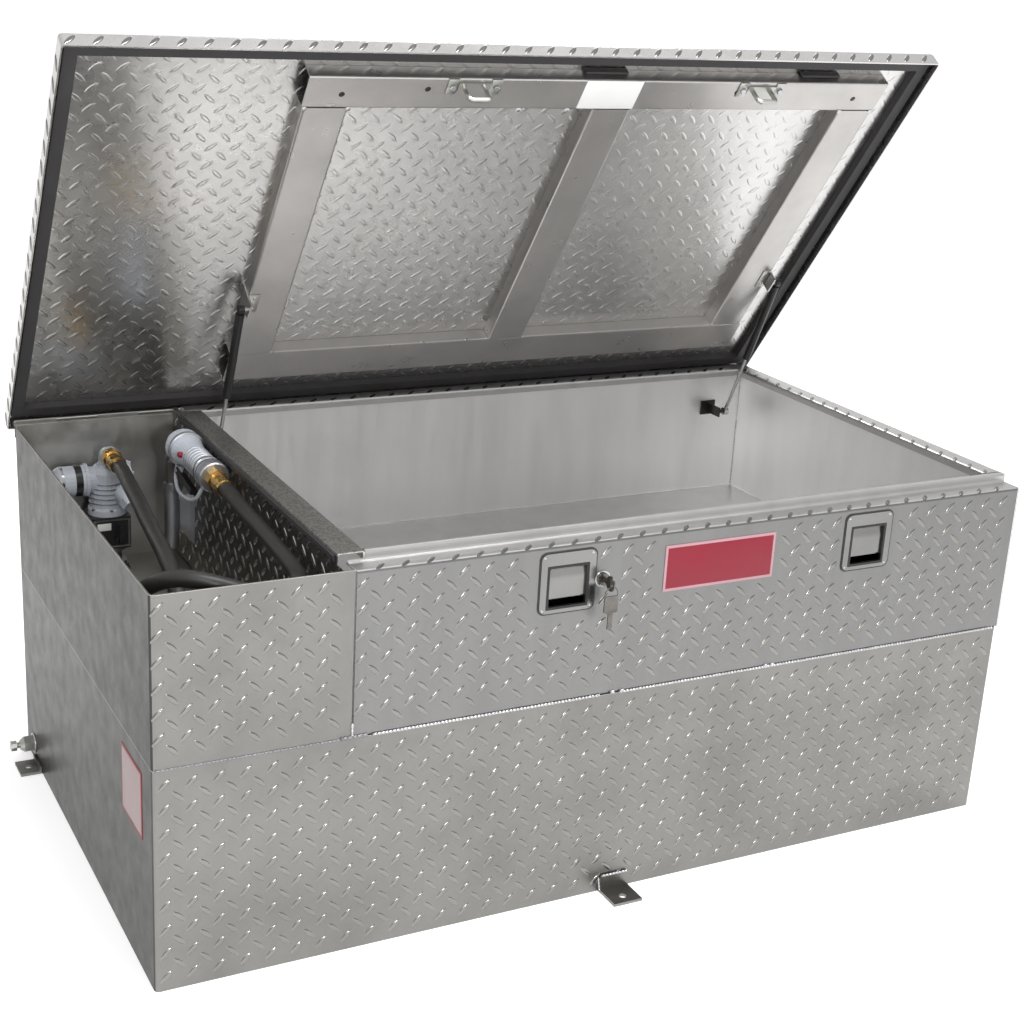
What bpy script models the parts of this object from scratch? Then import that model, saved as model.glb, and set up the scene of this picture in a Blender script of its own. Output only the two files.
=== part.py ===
"""Truck bed transfer tank: a fuel tank with a pump bay and a lidded toolbox on top of it.

Metres, +Z up. The origin is on the ground under the middle of the tank, X runs along the truck's
width from the pump bay to the toolbox, and the lid stands open towards +Y.
"""

import math

import bmesh
import bpy
from mathutils import Matrix, Vector

# Box
WIDTH = 1.524
DEPTH = 0.844
TANK_HEIGHT = 0.355
RIM_HEIGHT = 0.629
LEDGE_STEP = 0.015
BAY_STEP = 0.013
PARTITION_X = 0.281
PANEL_JOINT = 0.2955
JOINT_GAP = 0.003
TANK_SHEET = 0.0032
BOX_SHEET = 0.0025
CORNER_RADIUS = 0.007
FOLD_RADIUS = 0.004
GAP = 0.0003
RIM_WIDTH = 0.038
RIM_LIP = 0.014
LEDGE_WIDTH = 0.038
HEM_WIDTH = 0.012
HEM_LIP = 0.010
PARTITION_FLANGE = 0.043
RIGHT_LAP = 0.003
BAFFLE_SHEET = 0.003
BAFFLE_HOLE = 0.045

# Lid, in its closed place around the hinge pin
LID_OPEN = math.radians(54.05)
LID_SHEET = 0.0025
LID_SIDE_OVERHANG = 0.012
LID_TOP_ABOVE_PIN = 0.0234
LID_FRONT_SETBACK = 0.0136
LID_REAR_OVERHANG = 0.0143
LID_FLANGE = 0.029
LID_CORNER = 0.006
SEAL_WIDTH = 0.020
SEAL_THICKNESS = 0.0132
RAIL_DEPTH = 0.025
RAIL_SHEET = 0.0025
FRONT_RAIL_SETBACK = 0.049
FRONT_RAIL_WIDTH = 0.062
BACK_RAIL_FROM_PIN = 0.076
BACK_RAIL_WIDTH = 0.073
CROSS_RAIL_WIDTH = 0.073
RAIL_FRAME_LEFT = 0.364
RAIL_FRAME_RIGHT_INSET = 0.077
RAIL_END_OVERRUN = 0.003
RAIL_FOLD = 0.003

# Hinge
PIN_RADIUS = 0.0015
PIN_CLEARANCE = 0.0003
KNUCKLE_RADIUS = 0.003
KNUCKLE_COUNT = 21
KNUCKLE_SIDES = 10
LEAF_SHEET = 0.0014
LEAF_HEIGHT = 0.028
LEAF_FOLD = 0.002
PIN_DROP = 0.007

# Gas struts
STRUT_INSET = 0.350
STRUT_RIGHT_INSET = 0.0605
STRUT_LID_FROM_PIN = 0.2837
STRUT_LID_BELOW_PIN = 0.01702
STRUT_BOX_INSET = 0.042
STRUT_BOX_DROP = 0.089
STRUT_CYLINDER_RADIUS = 0.0075
STRUT_CYLINDER_LENGTH = 0.190
STRUT_ROD_RADIUS = 0.0035
STRUT_KNOB_RADIUS = 0.008
STRUT_KNOB_WIDTH = 0.010
STUD_RADIUS = 0.0038
STRUT_WALL = 0.0015
BRACKET_SHEET = 0.003
BRACKET_WIDTH = 0.034
BRACKET_HEIGHT = 0.030

# Latches
LATCH_PLATE_WIDTH = 0.094
LATCH_PLATE_HEIGHT = 0.096
LATCH_PLATE_SHEET = 0.002
LATCH_POCKET_WIDTH = 0.072
LATCH_POCKET_HEIGHT = 0.070
LATCH_POCKET_DEPTH = 0.030
LATCH_TRAY_WALL = 0.0015
LATCH_CORNER = 0.010
LATCH_LEFT_X = 0.6385
LATCH_RIGHT_X = 1.2045
LATCH_DROP = 0.059
LATCH_POCKET_DROP = 0.007
STRIKER_LEFT_X = 0.637
STRIKER_RIGHT_X = 1.182
PADDLE_CLEARANCE = 0.0035
PADDLE_SHEET = 0.002
PADDLE_SHARE = 0.76
PADDLE_FOLD = 0.003
PADDLE_PIN_RADIUS = 0.0025
STRIKER_FROM_FRONT = 0.0786
STRIKER_WIRE = 0.004
STRIKER_SPREAD = 0.018
STRIKER_DROP = 0.030
STRIKER_PLATE = 0.0025
LATCH_BODY_WIDTH = 0.022
LATCH_BODY_HEIGHT = 0.050
LATCH_SLOT = 0.012
LATCH_BODY_EDGE = 0.003
LOCK_X = 0.700
LOCK_DROP = 0.062
LOCK_RADIUS = 0.010
LOCK_STAND = 0.006
LOCK_NECK = 0.8
LOCK_BORE = 0.55
KEY_SHEET = 0.0022
KEY_BOW_RADIUS = 0.012
KEY_BLADE_HEIGHT = 0.008
KEY_SHOULDER = 0.006
KEY_EYE_RADIUS = 0.003
KEY_EYE_OUT = 0.005
KEY_EYE_DROP = 0.002
KEY_RING_RADIUS = 0.011
KEY_RING_WIRE = 0.0009
KEY_SHANK = 0.026
KEY_CORNER = 0.004

# Lugs and outlet
LUG_SHEET = 0.005
LUG_WIDTH = 0.052
LUG_REACH = 0.054
LUG_UPSTAND = 0.028
LUG_HOLE_RADIUS = 0.0065
SIDE_LUG_REACH = 0.038
SIDE_LUG_UPSTAND = 0.014
SIDE_LUG_FROM_FRONT = 0.7485
OUTLET_FROM_FRONT = 0.785
OUTLET_HEIGHT = 0.032
OUTLET_RADIUS = 0.0105
OUTLET_HEXAGON = 0.019
OUTLET_SHOULDER = 0.007
OUTLET_PLUG_HEAD = 0.010
OUTLET_PLUG_STAND = 0.006

# Pump, stacked on the tank's top
PUMP_X = 0.140
PUMP_FROM_FRONT = 0.772
BUNG_RADIUS = 0.038
BUNG_HEIGHT = 0.016
BUNG_EDGE = 0.006
SUCTION_RADIUS = 0.0125
SUCTION_WALL = 0.0018
SUCTION_FOOT = 0.014
SUCTION_SOCKET = 0.020
COLUMN_RADIUS = 0.027
COLUMN_HEIGHT = 0.0361
COLUMN_FLANGE = 0.006
SWITCH_BOX_HALF = 0.034
SWITCH_BOX_BACK = 0.030
SWITCH_BOX_HEIGHT = 0.058
SWITCH_BOX_EDGE = 0.004
LEVER_FROM_AXIS = 0.012
LEVER_HEIGHT = 0.020
LEVER_BOSS_RADIUS = 0.008
LEVER_BOSS_HALF = 0.004
LEVER_ARM = 0.022
LEVER_ARM_WIDTH = 0.006
PUMP_BODY_RADIUS = 0.030
PUMP_BODY_HEIGHT = 0.0864
PUMP_BODY_FLANGE = 0.010
PUMP_BODY_EDGE = 0.010
MOTOR_RADIUS = 0.0265
MOTOR_LENGTH = 0.062
MOTOR_FLANGE = 0.006
MOTOR_RISE = 0.0627
MOTOR_BOSS_STAND = 0.004
COVER_THICKNESS = 0.006
COVER_HUB = 0.009
COVER_STAND = 0.003
COVER_SCREWS = 6
COVER_SCREW_RADIUS = 0.0035
COVER_SCREW_CIRCLE = 0.024
RELIEF_RADIUS = 0.0125
RELIEF_LENGTH = 0.058
RELIEF_SLOPE = math.radians(38)
RELIEF_CAP = 0.014
OUTLET_BOSS_RADIUS = 0.016
OUTLET_BOSS_RISE = 0.004
ELBOW_RADIUS = 0.0135
ELBOW_BEND = 0.017
ELBOW_FOOT = 0.003
ELBOW_STUB = 0.014
ELBOW_COLLAR_RADIUS = 0.0165
ELBOW_COLLAR = 0.010
ELBOW_COLLAR_LIP = 0.002
SWIVEL_RADIUS = 0.0150
SWIVEL_NUT_RADIUS = 0.0178
SWIVEL_NUT = 0.018
SWIVEL_LENGTH = 0.034
SWIVEL_SPIGOT_RADIUS = 0.0085
SWIVEL_SPIGOT = 0.005

# Nozzle, lying along the partition with its guard and spout hanging down
NOZZLE_X = 0.247
NOZZLE_HEAD_FROM_FRONT = 0.680
NOZZLE_HEAD_DROP = 0.020
NOZZLE_FOOT_X = 0.2515
NOZZLE_FOOT_FROM_FRONT = 0.505
NOZZLE_FOOT_DROP = 0.029
NOZZLE_LENGTH = 0.190
NOZZLE_HEAD_RADIUS = 0.031
NOZZLE_RING_RADIUS = 0.0262
NOZZLE_RING_EDGE = 0.002
NOZZLE_PROFILE = (
    (1.00, 0.00), (0.99, 0.42), (0.945, 0.80), (0.865, 1.00), (0.78, 0.98),
    (0.67, 0.82), (0.54, 0.74), (0.28, 0.72), (0.16, 0.77), (0.11, 0.80),
)
GUARD_TURN = math.radians(106)
GUARD_WIRE = 0.0032
GUARD_ROUTE = (
    (0.020, 0.164), (0.050, 0.161), (0.069, 0.132), (0.068, 0.084), (0.054, 0.048), (0.018, 0.032),
)
TRIGGER_REST = math.radians(6)
TRIGGER_PIVOT = (0.041, 0.146)
TRIGGER_LENGTH = 0.082
TRIGGER_HALF = 0.005
TRIGGER_HALF_WIDTH = 0.0065
TRIGGER_HEEL = 0.006
TRIGGER_PIN = 0.0025
TRIGGER_PIN_HALF = 0.0075
TRIGGER_EAR_HALF = 0.003
TRIGGER_SLOT = 0.015
HOLDER_FROM_FRONT = 0.742
HOLDER_RISE = 0.045
HOLDER_BELOW_NOZZLE = 0.089
HOLDER_WALL = 0.002
HOLDER_PLATE_HALF = 0.030
HOLDER_ARM_HALF = 0.012
SPOUT_RADIUS = 0.0105
SPOUT_START = 0.165
SPOUT_IN_HOLDER = 0.5

# Hose
HOSE_RADIUS = 0.0125
COIL_X = 0.142
COIL_FROM_FRONT = 0.146
COIL_RADIUS = 0.1225
COIL_HEIGHT = 0.052
# Points on the hose's two runs: from the left end, from the front, and their height as a share of
# the room between a hose that lies on the coil (0) and the rim (1)
HOSE_FROM_PUMP = (
    (0.127, 0.56, 0.763), (0.1165, 0.47, 0.770), (0.107, 0.394, 0.773), (0.0985, 0.32, 0.773),
    (0.091, 0.25, 0.770), (0.0845, 0.195, 0.756), (0.0805, 0.158, 0.718), (0.077, 0.126, 0.641),
    (0.0745, 0.101, 0.536), (0.075, 0.085, 0.406), (0.08, 0.075, 0.282), (0.0905, 0.0655, 0.177),
    (0.109, 0.057, 0.088), (0.13, 0.0505, 0.033), (0.1505, 0.0492, 0.007), (0.1752, 0.0547, 0.000),
    (0.1977, 0.0664, 0.000),
)
HOSE_TO_NOZZLE = (
    (0.2571, 0.1041, 0.000), (0.2645, 0.146, 0.005), (0.2571, 0.188, 0.019),
    (0.2286, 0.2326, 0.057), (0.1839, 0.2611, 0.114), (0.1313, 0.268, 0.191),
    (0.0808, 0.2521, 0.287), (0.0417, 0.2163, 0.411), (0.0237, 0.1777, 0.536), (0.02, 0.146, 0.655),
    (0.0245, 0.118, 0.756), (0.035, 0.094, 0.837), (0.05, 0.073, 0.895), (0.07, 0.054, 0.919),
    (0.095, 0.04, 0.904), (0.124, 0.031, 0.861), (0.152, 0.028, 0.813), (0.181, 0.032, 0.770),
    (0.212, 0.046, 0.742), (0.237, 0.073, 0.732), (0.25, 0.107, 0.732), (0.254, 0.145, 0.739),
    (0.2535, 0.2, 0.765), (0.2525, 0.27, 0.799), (0.2515, 0.35, 0.823),
)

# Filler in the middle of the hose coil, and the vent behind it
FILLER_X = 0.142
FILLER_FROM_FRONT = 0.146
FILLER_RADIUS = 0.030
FILLER_WALL = 0.0025
FILLER_HEIGHT = 0.038
FILLER_FLANGE = 0.008
FILLER_FLANGE_THICKNESS = 0.005
CAP_RADIUS = 0.038
CAP_HEIGHT = 0.022
CAP_TOP = 0.008
CAP_EDGE = 0.003
VENT_X = 0.070
VENT_FROM_FRONT = 0.420
VENT_RADIUS = 0.011
VENT_HEIGHT = 0.046
VENT_PROFILE = (
    (1.00, 0.00), (0.935, 1.00), (0.65, 1.30), (0.52, 1.30), (0.48, 0.80), (0.22, 0.80), (0.22, 1.40),
    (0.00, 1.40), (0.00, 0.00),
)

LEFT = -WIDTH / 2
RIGHT = WIDTH / 2
FRONT = -DEPTH / 2
BACK = DEPTH / 2
SIDES = 24
LEDGE_HEIGHT = RIM_HEIGHT - LEDGE_STEP
BAY_HEIGHT = RIM_HEIGHT - BAY_STEP
PIN_HEIGHT = RIM_HEIGHT - PIN_DROP
STRUT_BOX_HEIGHT = RIM_HEIGHT - STRUT_BOX_DROP
LATCH_HEIGHT = LEDGE_HEIGHT - LATCH_DROP
LOCK_HEIGHT = LEDGE_HEIGHT - LOCK_DROP
TANK_TOP = TANK_HEIGHT + GAP
COLUMN_LOW = TANK_TOP + BUNG_HEIGHT + GAP
SWITCH_BOX_LOW = COLUMN_LOW + COLUMN_HEIGHT + GAP
SWITCH_BOX_HIGH = SWITCH_BOX_LOW + SWITCH_BOX_HEIGHT
PUMP_BODY_LOW = SWITCH_BOX_HIGH + GAP
PUMP_BODY_TOP = PUMP_BODY_LOW + PUMP_BODY_HEIGHT
MOTOR_HEIGHT = PUMP_BODY_LOW + MOTOR_RISE
ELBOW_LOW = PUMP_BODY_TOP + OUTLET_BOSS_RISE + GAP
SWIVEL_HEIGHT = ELBOW_LOW + ELBOW_FOOT + ELBOW_BEND
SWIVEL_FROM_AXIS = ELBOW_BEND + ELBOW_STUB + ELBOW_COLLAR_LIP + GAP
HOLDER_LOW = TANK_HEIGHT + HOLDER_RISE
HOLDER_HIGH = RIM_HEIGHT - NOZZLE_HEAD_DROP - HOLDER_BELOW_NOZZLE

MATERIALS = {
    "tread_plate": ((0.62, 0.62, 0.60), 0.32, 1.0),
    "plain_sheet": ((0.68, 0.68, 0.68), 0.28, 1.0),
    "zinc": ((0.66, 0.66, 0.62), 0.35, 1.0),
    "stainless": ((0.62, 0.62, 0.62), 0.22, 1.0),
    "brass": ((0.72, 0.52, 0.20), 0.28, 1.0),
    "rubber": ((0.02, 0.02, 0.02), 0.65, 0.0),
    "black_paint": ((0.02, 0.02, 0.025), 0.35, 0.0),
    "black_plastic": ((0.03, 0.03, 0.035), 0.45, 0.0),
    "cast_alloy": ((0.62, 0.65, 0.67), 0.45, 0.6),
    "grey_paint": ((0.55, 0.58, 0.60), 0.4, 0.1),
    "white_enamel": ((0.85, 0.85, 0.83), 0.35, 0.0),
}


def clear_scene():
    for old in list(bpy.data.objects):
        bpy.data.objects.remove(old, do_unlink=True)


def make_collection(name):
    group = bpy.data.collections.new(name)
    bpy.context.scene.collection.children.link(group)
    return group


def make_material(name):
    colour, roughness, metallic = MATERIALS[name]
    material = bpy.data.materials.get(name) or bpy.data.materials.new(name)
    material.use_nodes = True
    shader = material.node_tree.nodes["Principled BSDF"]
    shader.inputs["Base Color"].default_value = (*colour, 1.0)
    shader.inputs["Roughness"].default_value = roughness
    shader.inputs["Metallic"].default_value = metallic
    return material


clear_scene()
PARTS = make_collection("truck_bed_transfer_tank")
CUTTERS = make_collection("cutters")
CUTTERS.hide_render = True


def link_part(thing, material, parent):
    """Put an object with the parts, or with the hidden cutters if it has no material."""
    thing.parent = parent
    if material:
        thing.data.materials.append(make_material(material))
        PARTS.objects.link(thing)
    else:
        CUTTERS.objects.link(thing)
        thing.hide_render = True
        thing.display_type = "WIRE"
    return thing


def add_mesh(name, shape, material=None, parent=None, smooth=False):
    """Make an object from a bmesh; without a material it is a cutter."""
    bmesh.ops.recalc_face_normals(shape, faces=shape.faces)
    mesh = bpy.data.meshes.new(name)
    shape.to_mesh(mesh)
    shape.free()
    if smooth:
        mesh.shade_smooth()
        mesh.set_sharp_from_angle(angle=math.radians(35))
    return link_part(bpy.data.objects.new(name, mesh), material, parent)


def add_empty(name, place, turn_x=0.0, parent=None):
    empty = bpy.data.objects.new(name, None)
    PARTS.objects.link(empty)
    empty.location = place
    empty.rotation_euler.x = turn_x
    empty.parent = parent
    return empty


def box_shape(low, high, bevel=0.0, edges=None, segments=2):
    """A block between two corners; edges picks which edges are rounded, from their two ends."""
    shape = bmesh.new()
    bmesh.ops.create_cube(shape, size=1.0)
    low = Vector(low)
    high = Vector(high)
    middle = (low + high) / 2
    size = high - low
    for vertex in shape.verts:
        vertex.co = middle + Vector((vertex.co.x * size.x, vertex.co.y * size.y, vertex.co.z * size.z))
    if bevel:
        chosen = [e for e in shape.edges if edges is None or edges(e.verts[0].co, e.verts[1].co)]
        bmesh.ops.bevel(
            shape, geom=chosen, offset=bevel, segments=segments, profile=0.5, affect="EDGES"
        )
    return shape


def add_block(name, low, high, material=None, parent=None, bevel=0.0, edges=None, segments=2):
    return add_mesh(name, box_shape(low, high, bevel, edges, segments), material, parent)


def rod_shape(start, end, radius, sides=SIDES, end_radius=None):
    """A capped cylinder or cone between two points."""
    start = Vector(start)
    end = Vector(end)
    along = end - start
    shape = bmesh.new()
    bmesh.ops.create_cone(
        shape,
        cap_ends=True,
        segments=sides,
        radius1=radius,
        radius2=radius if end_radius is None else end_radius,
        depth=along.length,
    )
    spin = along.to_track_quat("Z", "Y").to_matrix().to_4x4()
    bmesh.ops.transform(shape, matrix=Matrix.Translation((start + end) / 2) @ spin, verts=shape.verts)
    return shape


def add_rod(name, start, end, radius, material=None, parent=None, sides=SIDES, end_radius=None):
    return add_mesh(name, rod_shape(start, end, radius, sides, end_radius), material, parent, smooth=True)


def add_turned(name, outline, place, axis, material=None, parent=None, sides=SIDES):
    """Turn an outline of (radius, height) points, from its top outer edge down, about an axis."""
    shape = bmesh.new()
    corners = [shape.verts.new((radius, 0, height)) for radius, height in outline]
    closed = outline[0][0] > 0 and outline[-1][0] > 0
    for first, second in zip(corners, corners[1:] + corners[:1] if closed else corners[1:]):
        shape.edges.new((first, second))
    spin = Vector(axis).to_track_quat("Z", "Y").to_matrix().to_4x4()
    mesh = bpy.data.meshes.new(name)
    shape.to_mesh(mesh)
    shape.free()
    thing = link_part(bpy.data.objects.new(name, mesh), material, parent)
    thing.matrix_local = Matrix.Translation(Vector(place)) @ spin
    screw = thing.modifiers.new("turn", "SCREW")
    screw.steps = sides
    screw.render_steps = sides
    screw.use_merge_vertices = True
    screw.merge_threshold = 0.00005
    screw.use_smooth_shade = True
    return thing


def add_sheet(name, path, plane, ends, thickness, material, parent=None, fold=FOLD_RADIUS):
    """Fold a sheet along a path drawn in a plane; the metal lies to the left of the path.

    plane is "YZ", "XZ" or "XY", and ends are the two places where the sheet stops along the
    direction that the plane leaves out.
    """
    shape = bmesh.new()
    rows = []
    for place in ends:
        row = []
        for across, up in path:
            point = {"YZ": (place, across, up), "XZ": (across, place, up), "XY": (across, up, place)}[plane]
            row.append(shape.verts.new(point))
        rows.append(row)
    near, far = rows
    flip = plane == "XZ"
    for k in range(len(path) - 1):
        corners = (near[k], near[k + 1], far[k + 1], far[k])
        shape.faces.new(reversed(corners) if flip else corners)
    mesh = bpy.data.meshes.new(name)
    folds = [e for e in shape.edges if len(e.link_faces) == 2]
    if folds:
        bmesh.ops.bevel(shape, geom=folds, offset=fold, segments=2, profile=0.5, affect="EDGES")
    shape.to_mesh(mesh)
    shape.free()
    mesh.materials.append(make_material(material))
    thing = bpy.data.objects.new(name, mesh)
    PARTS.objects.link(thing)
    thing.parent = parent
    solid = thing.modifiers.new("sheet", "SOLIDIFY")
    solid.thickness = thickness
    solid.offset = -1
    solid.use_even_offset = True
    return thing


def add_tube(name, points, radius, material=None, parent=None, resolution=2):
    """A bent bar or hose on a smooth or straight run of points."""
    data = bpy.data.curves.new(name, "CURVE")
    data.dimensions = "3D"
    data.bevel_depth = radius
    data.bevel_resolution = resolution
    data.render_resolution_u = 0
    data.use_fill_caps = True
    spline = data.splines.new("POLY")
    spline.points.add(len(points) - 1)
    for point, place in zip(spline.points, points):
        point.co = (*place, 1.0)
    return link_part(bpy.data.objects.new(name, data), material, parent)


def to_mesh(thing):
    """Replace a curve by its welded mesh, so that it can be cut or joined."""
    bpy.context.view_layer.update()
    placed = thing.matrix_world.copy()
    parent = thing.parent
    local = thing.matrix_local.copy()
    mesh = bpy.data.meshes.new_from_object(thing.evaluated_get(bpy.context.evaluated_depsgraph_get()))
    shape = bmesh.new()
    shape.from_mesh(mesh)
    bmesh.ops.remove_doubles(shape, verts=shape.verts, dist=0.00002)
    bmesh.ops.recalc_face_normals(shape, faces=shape.faces)
    shape.to_mesh(mesh)
    shape.free()
    name = thing.name
    group = thing.users_collection[0]
    hidden = thing.hide_render
    bpy.data.objects.remove(thing, do_unlink=True)
    made = bpy.data.objects.new(name, mesh)
    group.objects.link(made)
    made.parent = parent
    if parent:
        made.matrix_local = local
    else:
        made.matrix_world = placed
    made.hide_render = hidden
    if hidden:
        made.display_type = "WIRE"
    return made


def boolean(thing, other, operation):
    step = thing.modifiers.new(operation.lower(), "BOOLEAN")
    step.operation = operation
    step.solver = "EXACT"
    step.object = other
    return thing


def cut(thing, *others):
    for other in others:
        boolean(thing, other, "DIFFERENCE")
    return thing


def join(thing, *others):
    for other in others:
        boolean(thing, other, "UNION")
    return thing


def smooth_route(route, spacing):
    """Points a fixed distance apart on a smooth curve through the route's own points."""
    fine = []
    places = [Vector(p) for p in route]
    padded = [2 * places[0] - places[1]] + places + [2 * places[-1] - places[-2]]
    for k in range(1, len(padded) - 2):
        p0, p1, p2, p3 = padded[k - 1 : k + 3]
        for step in range(40):
            t = step / 40
            fine.append(
                0.5
                * (
                    2 * p1
                    + (p2 - p0) * t
                    + (2 * p0 - 5 * p1 + 4 * p2 - p3) * t**2
                    + (3 * p1 - p0 - 3 * p2 + p3) * t**3
                )
            )
    fine.append(places[-1])
    total = sum((b - a).length for a, b in zip(fine, fine[1:]))
    count = max(2, round(total / spacing))
    wanted = total / count
    points = [fine[0]]
    travelled = 0.0
    for a, b in zip(fine, fine[1:]):
        travelled += (b - a).length
        if travelled >= wanted * len(points) - 1e-9 and len(points) < count:
            points.append(b)
    points.append(fine[-1])
    return points


def upright(a, b):
    return abs(a.z - b.z) > 1e-6


def build_tank():
    """The welded fuel tank with its openings, baffles and hold-down lugs."""
    shell = add_block(
        "tank_shell", (LEFT, FRONT, 0), (RIGHT, BACK, TANK_HEIGHT), "tread_plate",
        bevel=CORNER_RADIUS, edges=upright, segments=3,
    )
    inside_low = Vector((LEFT + TANK_SHEET, FRONT + TANK_SHEET, TANK_SHEET))
    inside_high = Vector((RIGHT - TANK_SHEET, BACK - TANK_SHEET, TANK_HEIGHT - TANK_SHEET))
    hollow = add_block("tank_hollow", inside_low, inside_high)
    through = TANK_SHEET * 2
    top = TANK_HEIGHT
    filler = add_rod(
        "filler_hole",
        (LEFT + FILLER_X, FRONT + FILLER_FROM_FRONT, top - through),
        (LEFT + FILLER_X, FRONT + FILLER_FROM_FRONT, top + through),
        FILLER_RADIUS - FILLER_WALL,
    )
    suction = add_rod(
        "suction_hole",
        (LEFT + PUMP_X, FRONT + PUMP_FROM_FRONT, top - through),
        (LEFT + PUMP_X, FRONT + PUMP_FROM_FRONT, top + through),
        SUCTION_RADIUS + 2 * GAP,
    )
    vent = add_rod(
        "vent_hole",
        (LEFT + VENT_X, FRONT + VENT_FROM_FRONT, top - through),
        (LEFT + VENT_X, FRONT + VENT_FROM_FRONT, top + through),
        VENT_RADIUS * 0.5,
        sides=12,
    )
    outlet = add_rod(
        "outlet_hole",
        (LEFT - through, FRONT + OUTLET_FROM_FRONT, OUTLET_HEIGHT),
        (LEFT + through, FRONT + OUTLET_FROM_FRONT, OUTLET_HEIGHT),
        OUTLET_RADIUS * 0.6,
        sides=12,
    )
    cut(shell, hollow)
    join(shell, *build_lugs())
    cut(shell, filler, suction, vent, outlet)
    for name, share in (("left_baffle", 1 / 3), ("right_baffle", 2 / 3)):
        x = LEFT + WIDTH * share
        plate = add_block(
            name,
            (x - BAFFLE_SHEET / 2, inside_low.y + GAP, inside_low.z + GAP),
            (x + BAFFLE_SHEET / 2, inside_high.y - GAP, inside_high.z - GAP),
            "plain_sheet",
        )
        for k in range(3):
            y = FRONT + DEPTH * (k + 0.5) / 3
            hole = add_rod(
                f"{name}_hole_{k}",
                (x - BAFFLE_SHEET, y, TANK_HEIGHT / 2),
                (x + BAFFLE_SHEET, y, TANK_HEIGHT / 2),
                BAFFLE_HOLE,
                sides=16,
            )
            cut(plate, hole)
        foot = add_block(
            f"{name}_drain_gap",
            (x - BAFFLE_SHEET, FRONT, 0),
            (x + BAFFLE_SHEET, FRONT + BAFFLE_HOLE, BAFFLE_HOLE),
        )
        cut(plate, foot)


def build_lugs():
    """Three folded lugs with a bolt hole each: in front and on both ends."""
    foot = LUG_SHEET
    weld = TANK_SHEET / 2
    lugs = (
        ("front_lug", "YZ", -1, FRONT, 0.0, LUG_REACH, LUG_UPSTAND),
        ("left_lug", "XZ", -1, LEFT, FRONT + SIDE_LUG_FROM_FRONT, SIDE_LUG_REACH, SIDE_LUG_UPSTAND),
        ("right_lug", "XZ", 1, RIGHT, FRONT + SIDE_LUG_FROM_FRONT, SIDE_LUG_REACH, SIDE_LUG_UPSTAND),
    )
    made = []
    for name, plane, way, wall, middle, reach, height in lugs:
        tip = wall + way * reach
        low, high = sorted((wall - way * weld, tip))
        side, far = sorted((wall - way * weld, wall + way * foot))
        near, last = middle - LUG_WIDTH / 2, middle + LUG_WIDTH / 2
        if plane == "YZ":
            lug = add_block(name, (near, low, 0), (last, high, foot))
            upstand = add_block(f"{name}_upstand", (near, side, 0), (last, far, height))
        else:
            lug = add_block(name, (low, near, 0), (high, last, foot))
            upstand = add_block(f"{name}_upstand", (side, near, 0), (far, last, height))
        out = wall + way * (reach - LUG_WIDTH * 0.35)
        spot = (middle, out) if plane == "YZ" else (out, middle)
        hole = add_rod(f"{name}_hole", (*spot, -foot), (*spot, foot * 2), LUG_HOLE_RADIUS, sides=16)
        join(lug, upstand)
        cut(lug, hole)
        made.append(lug)
    return made


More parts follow.
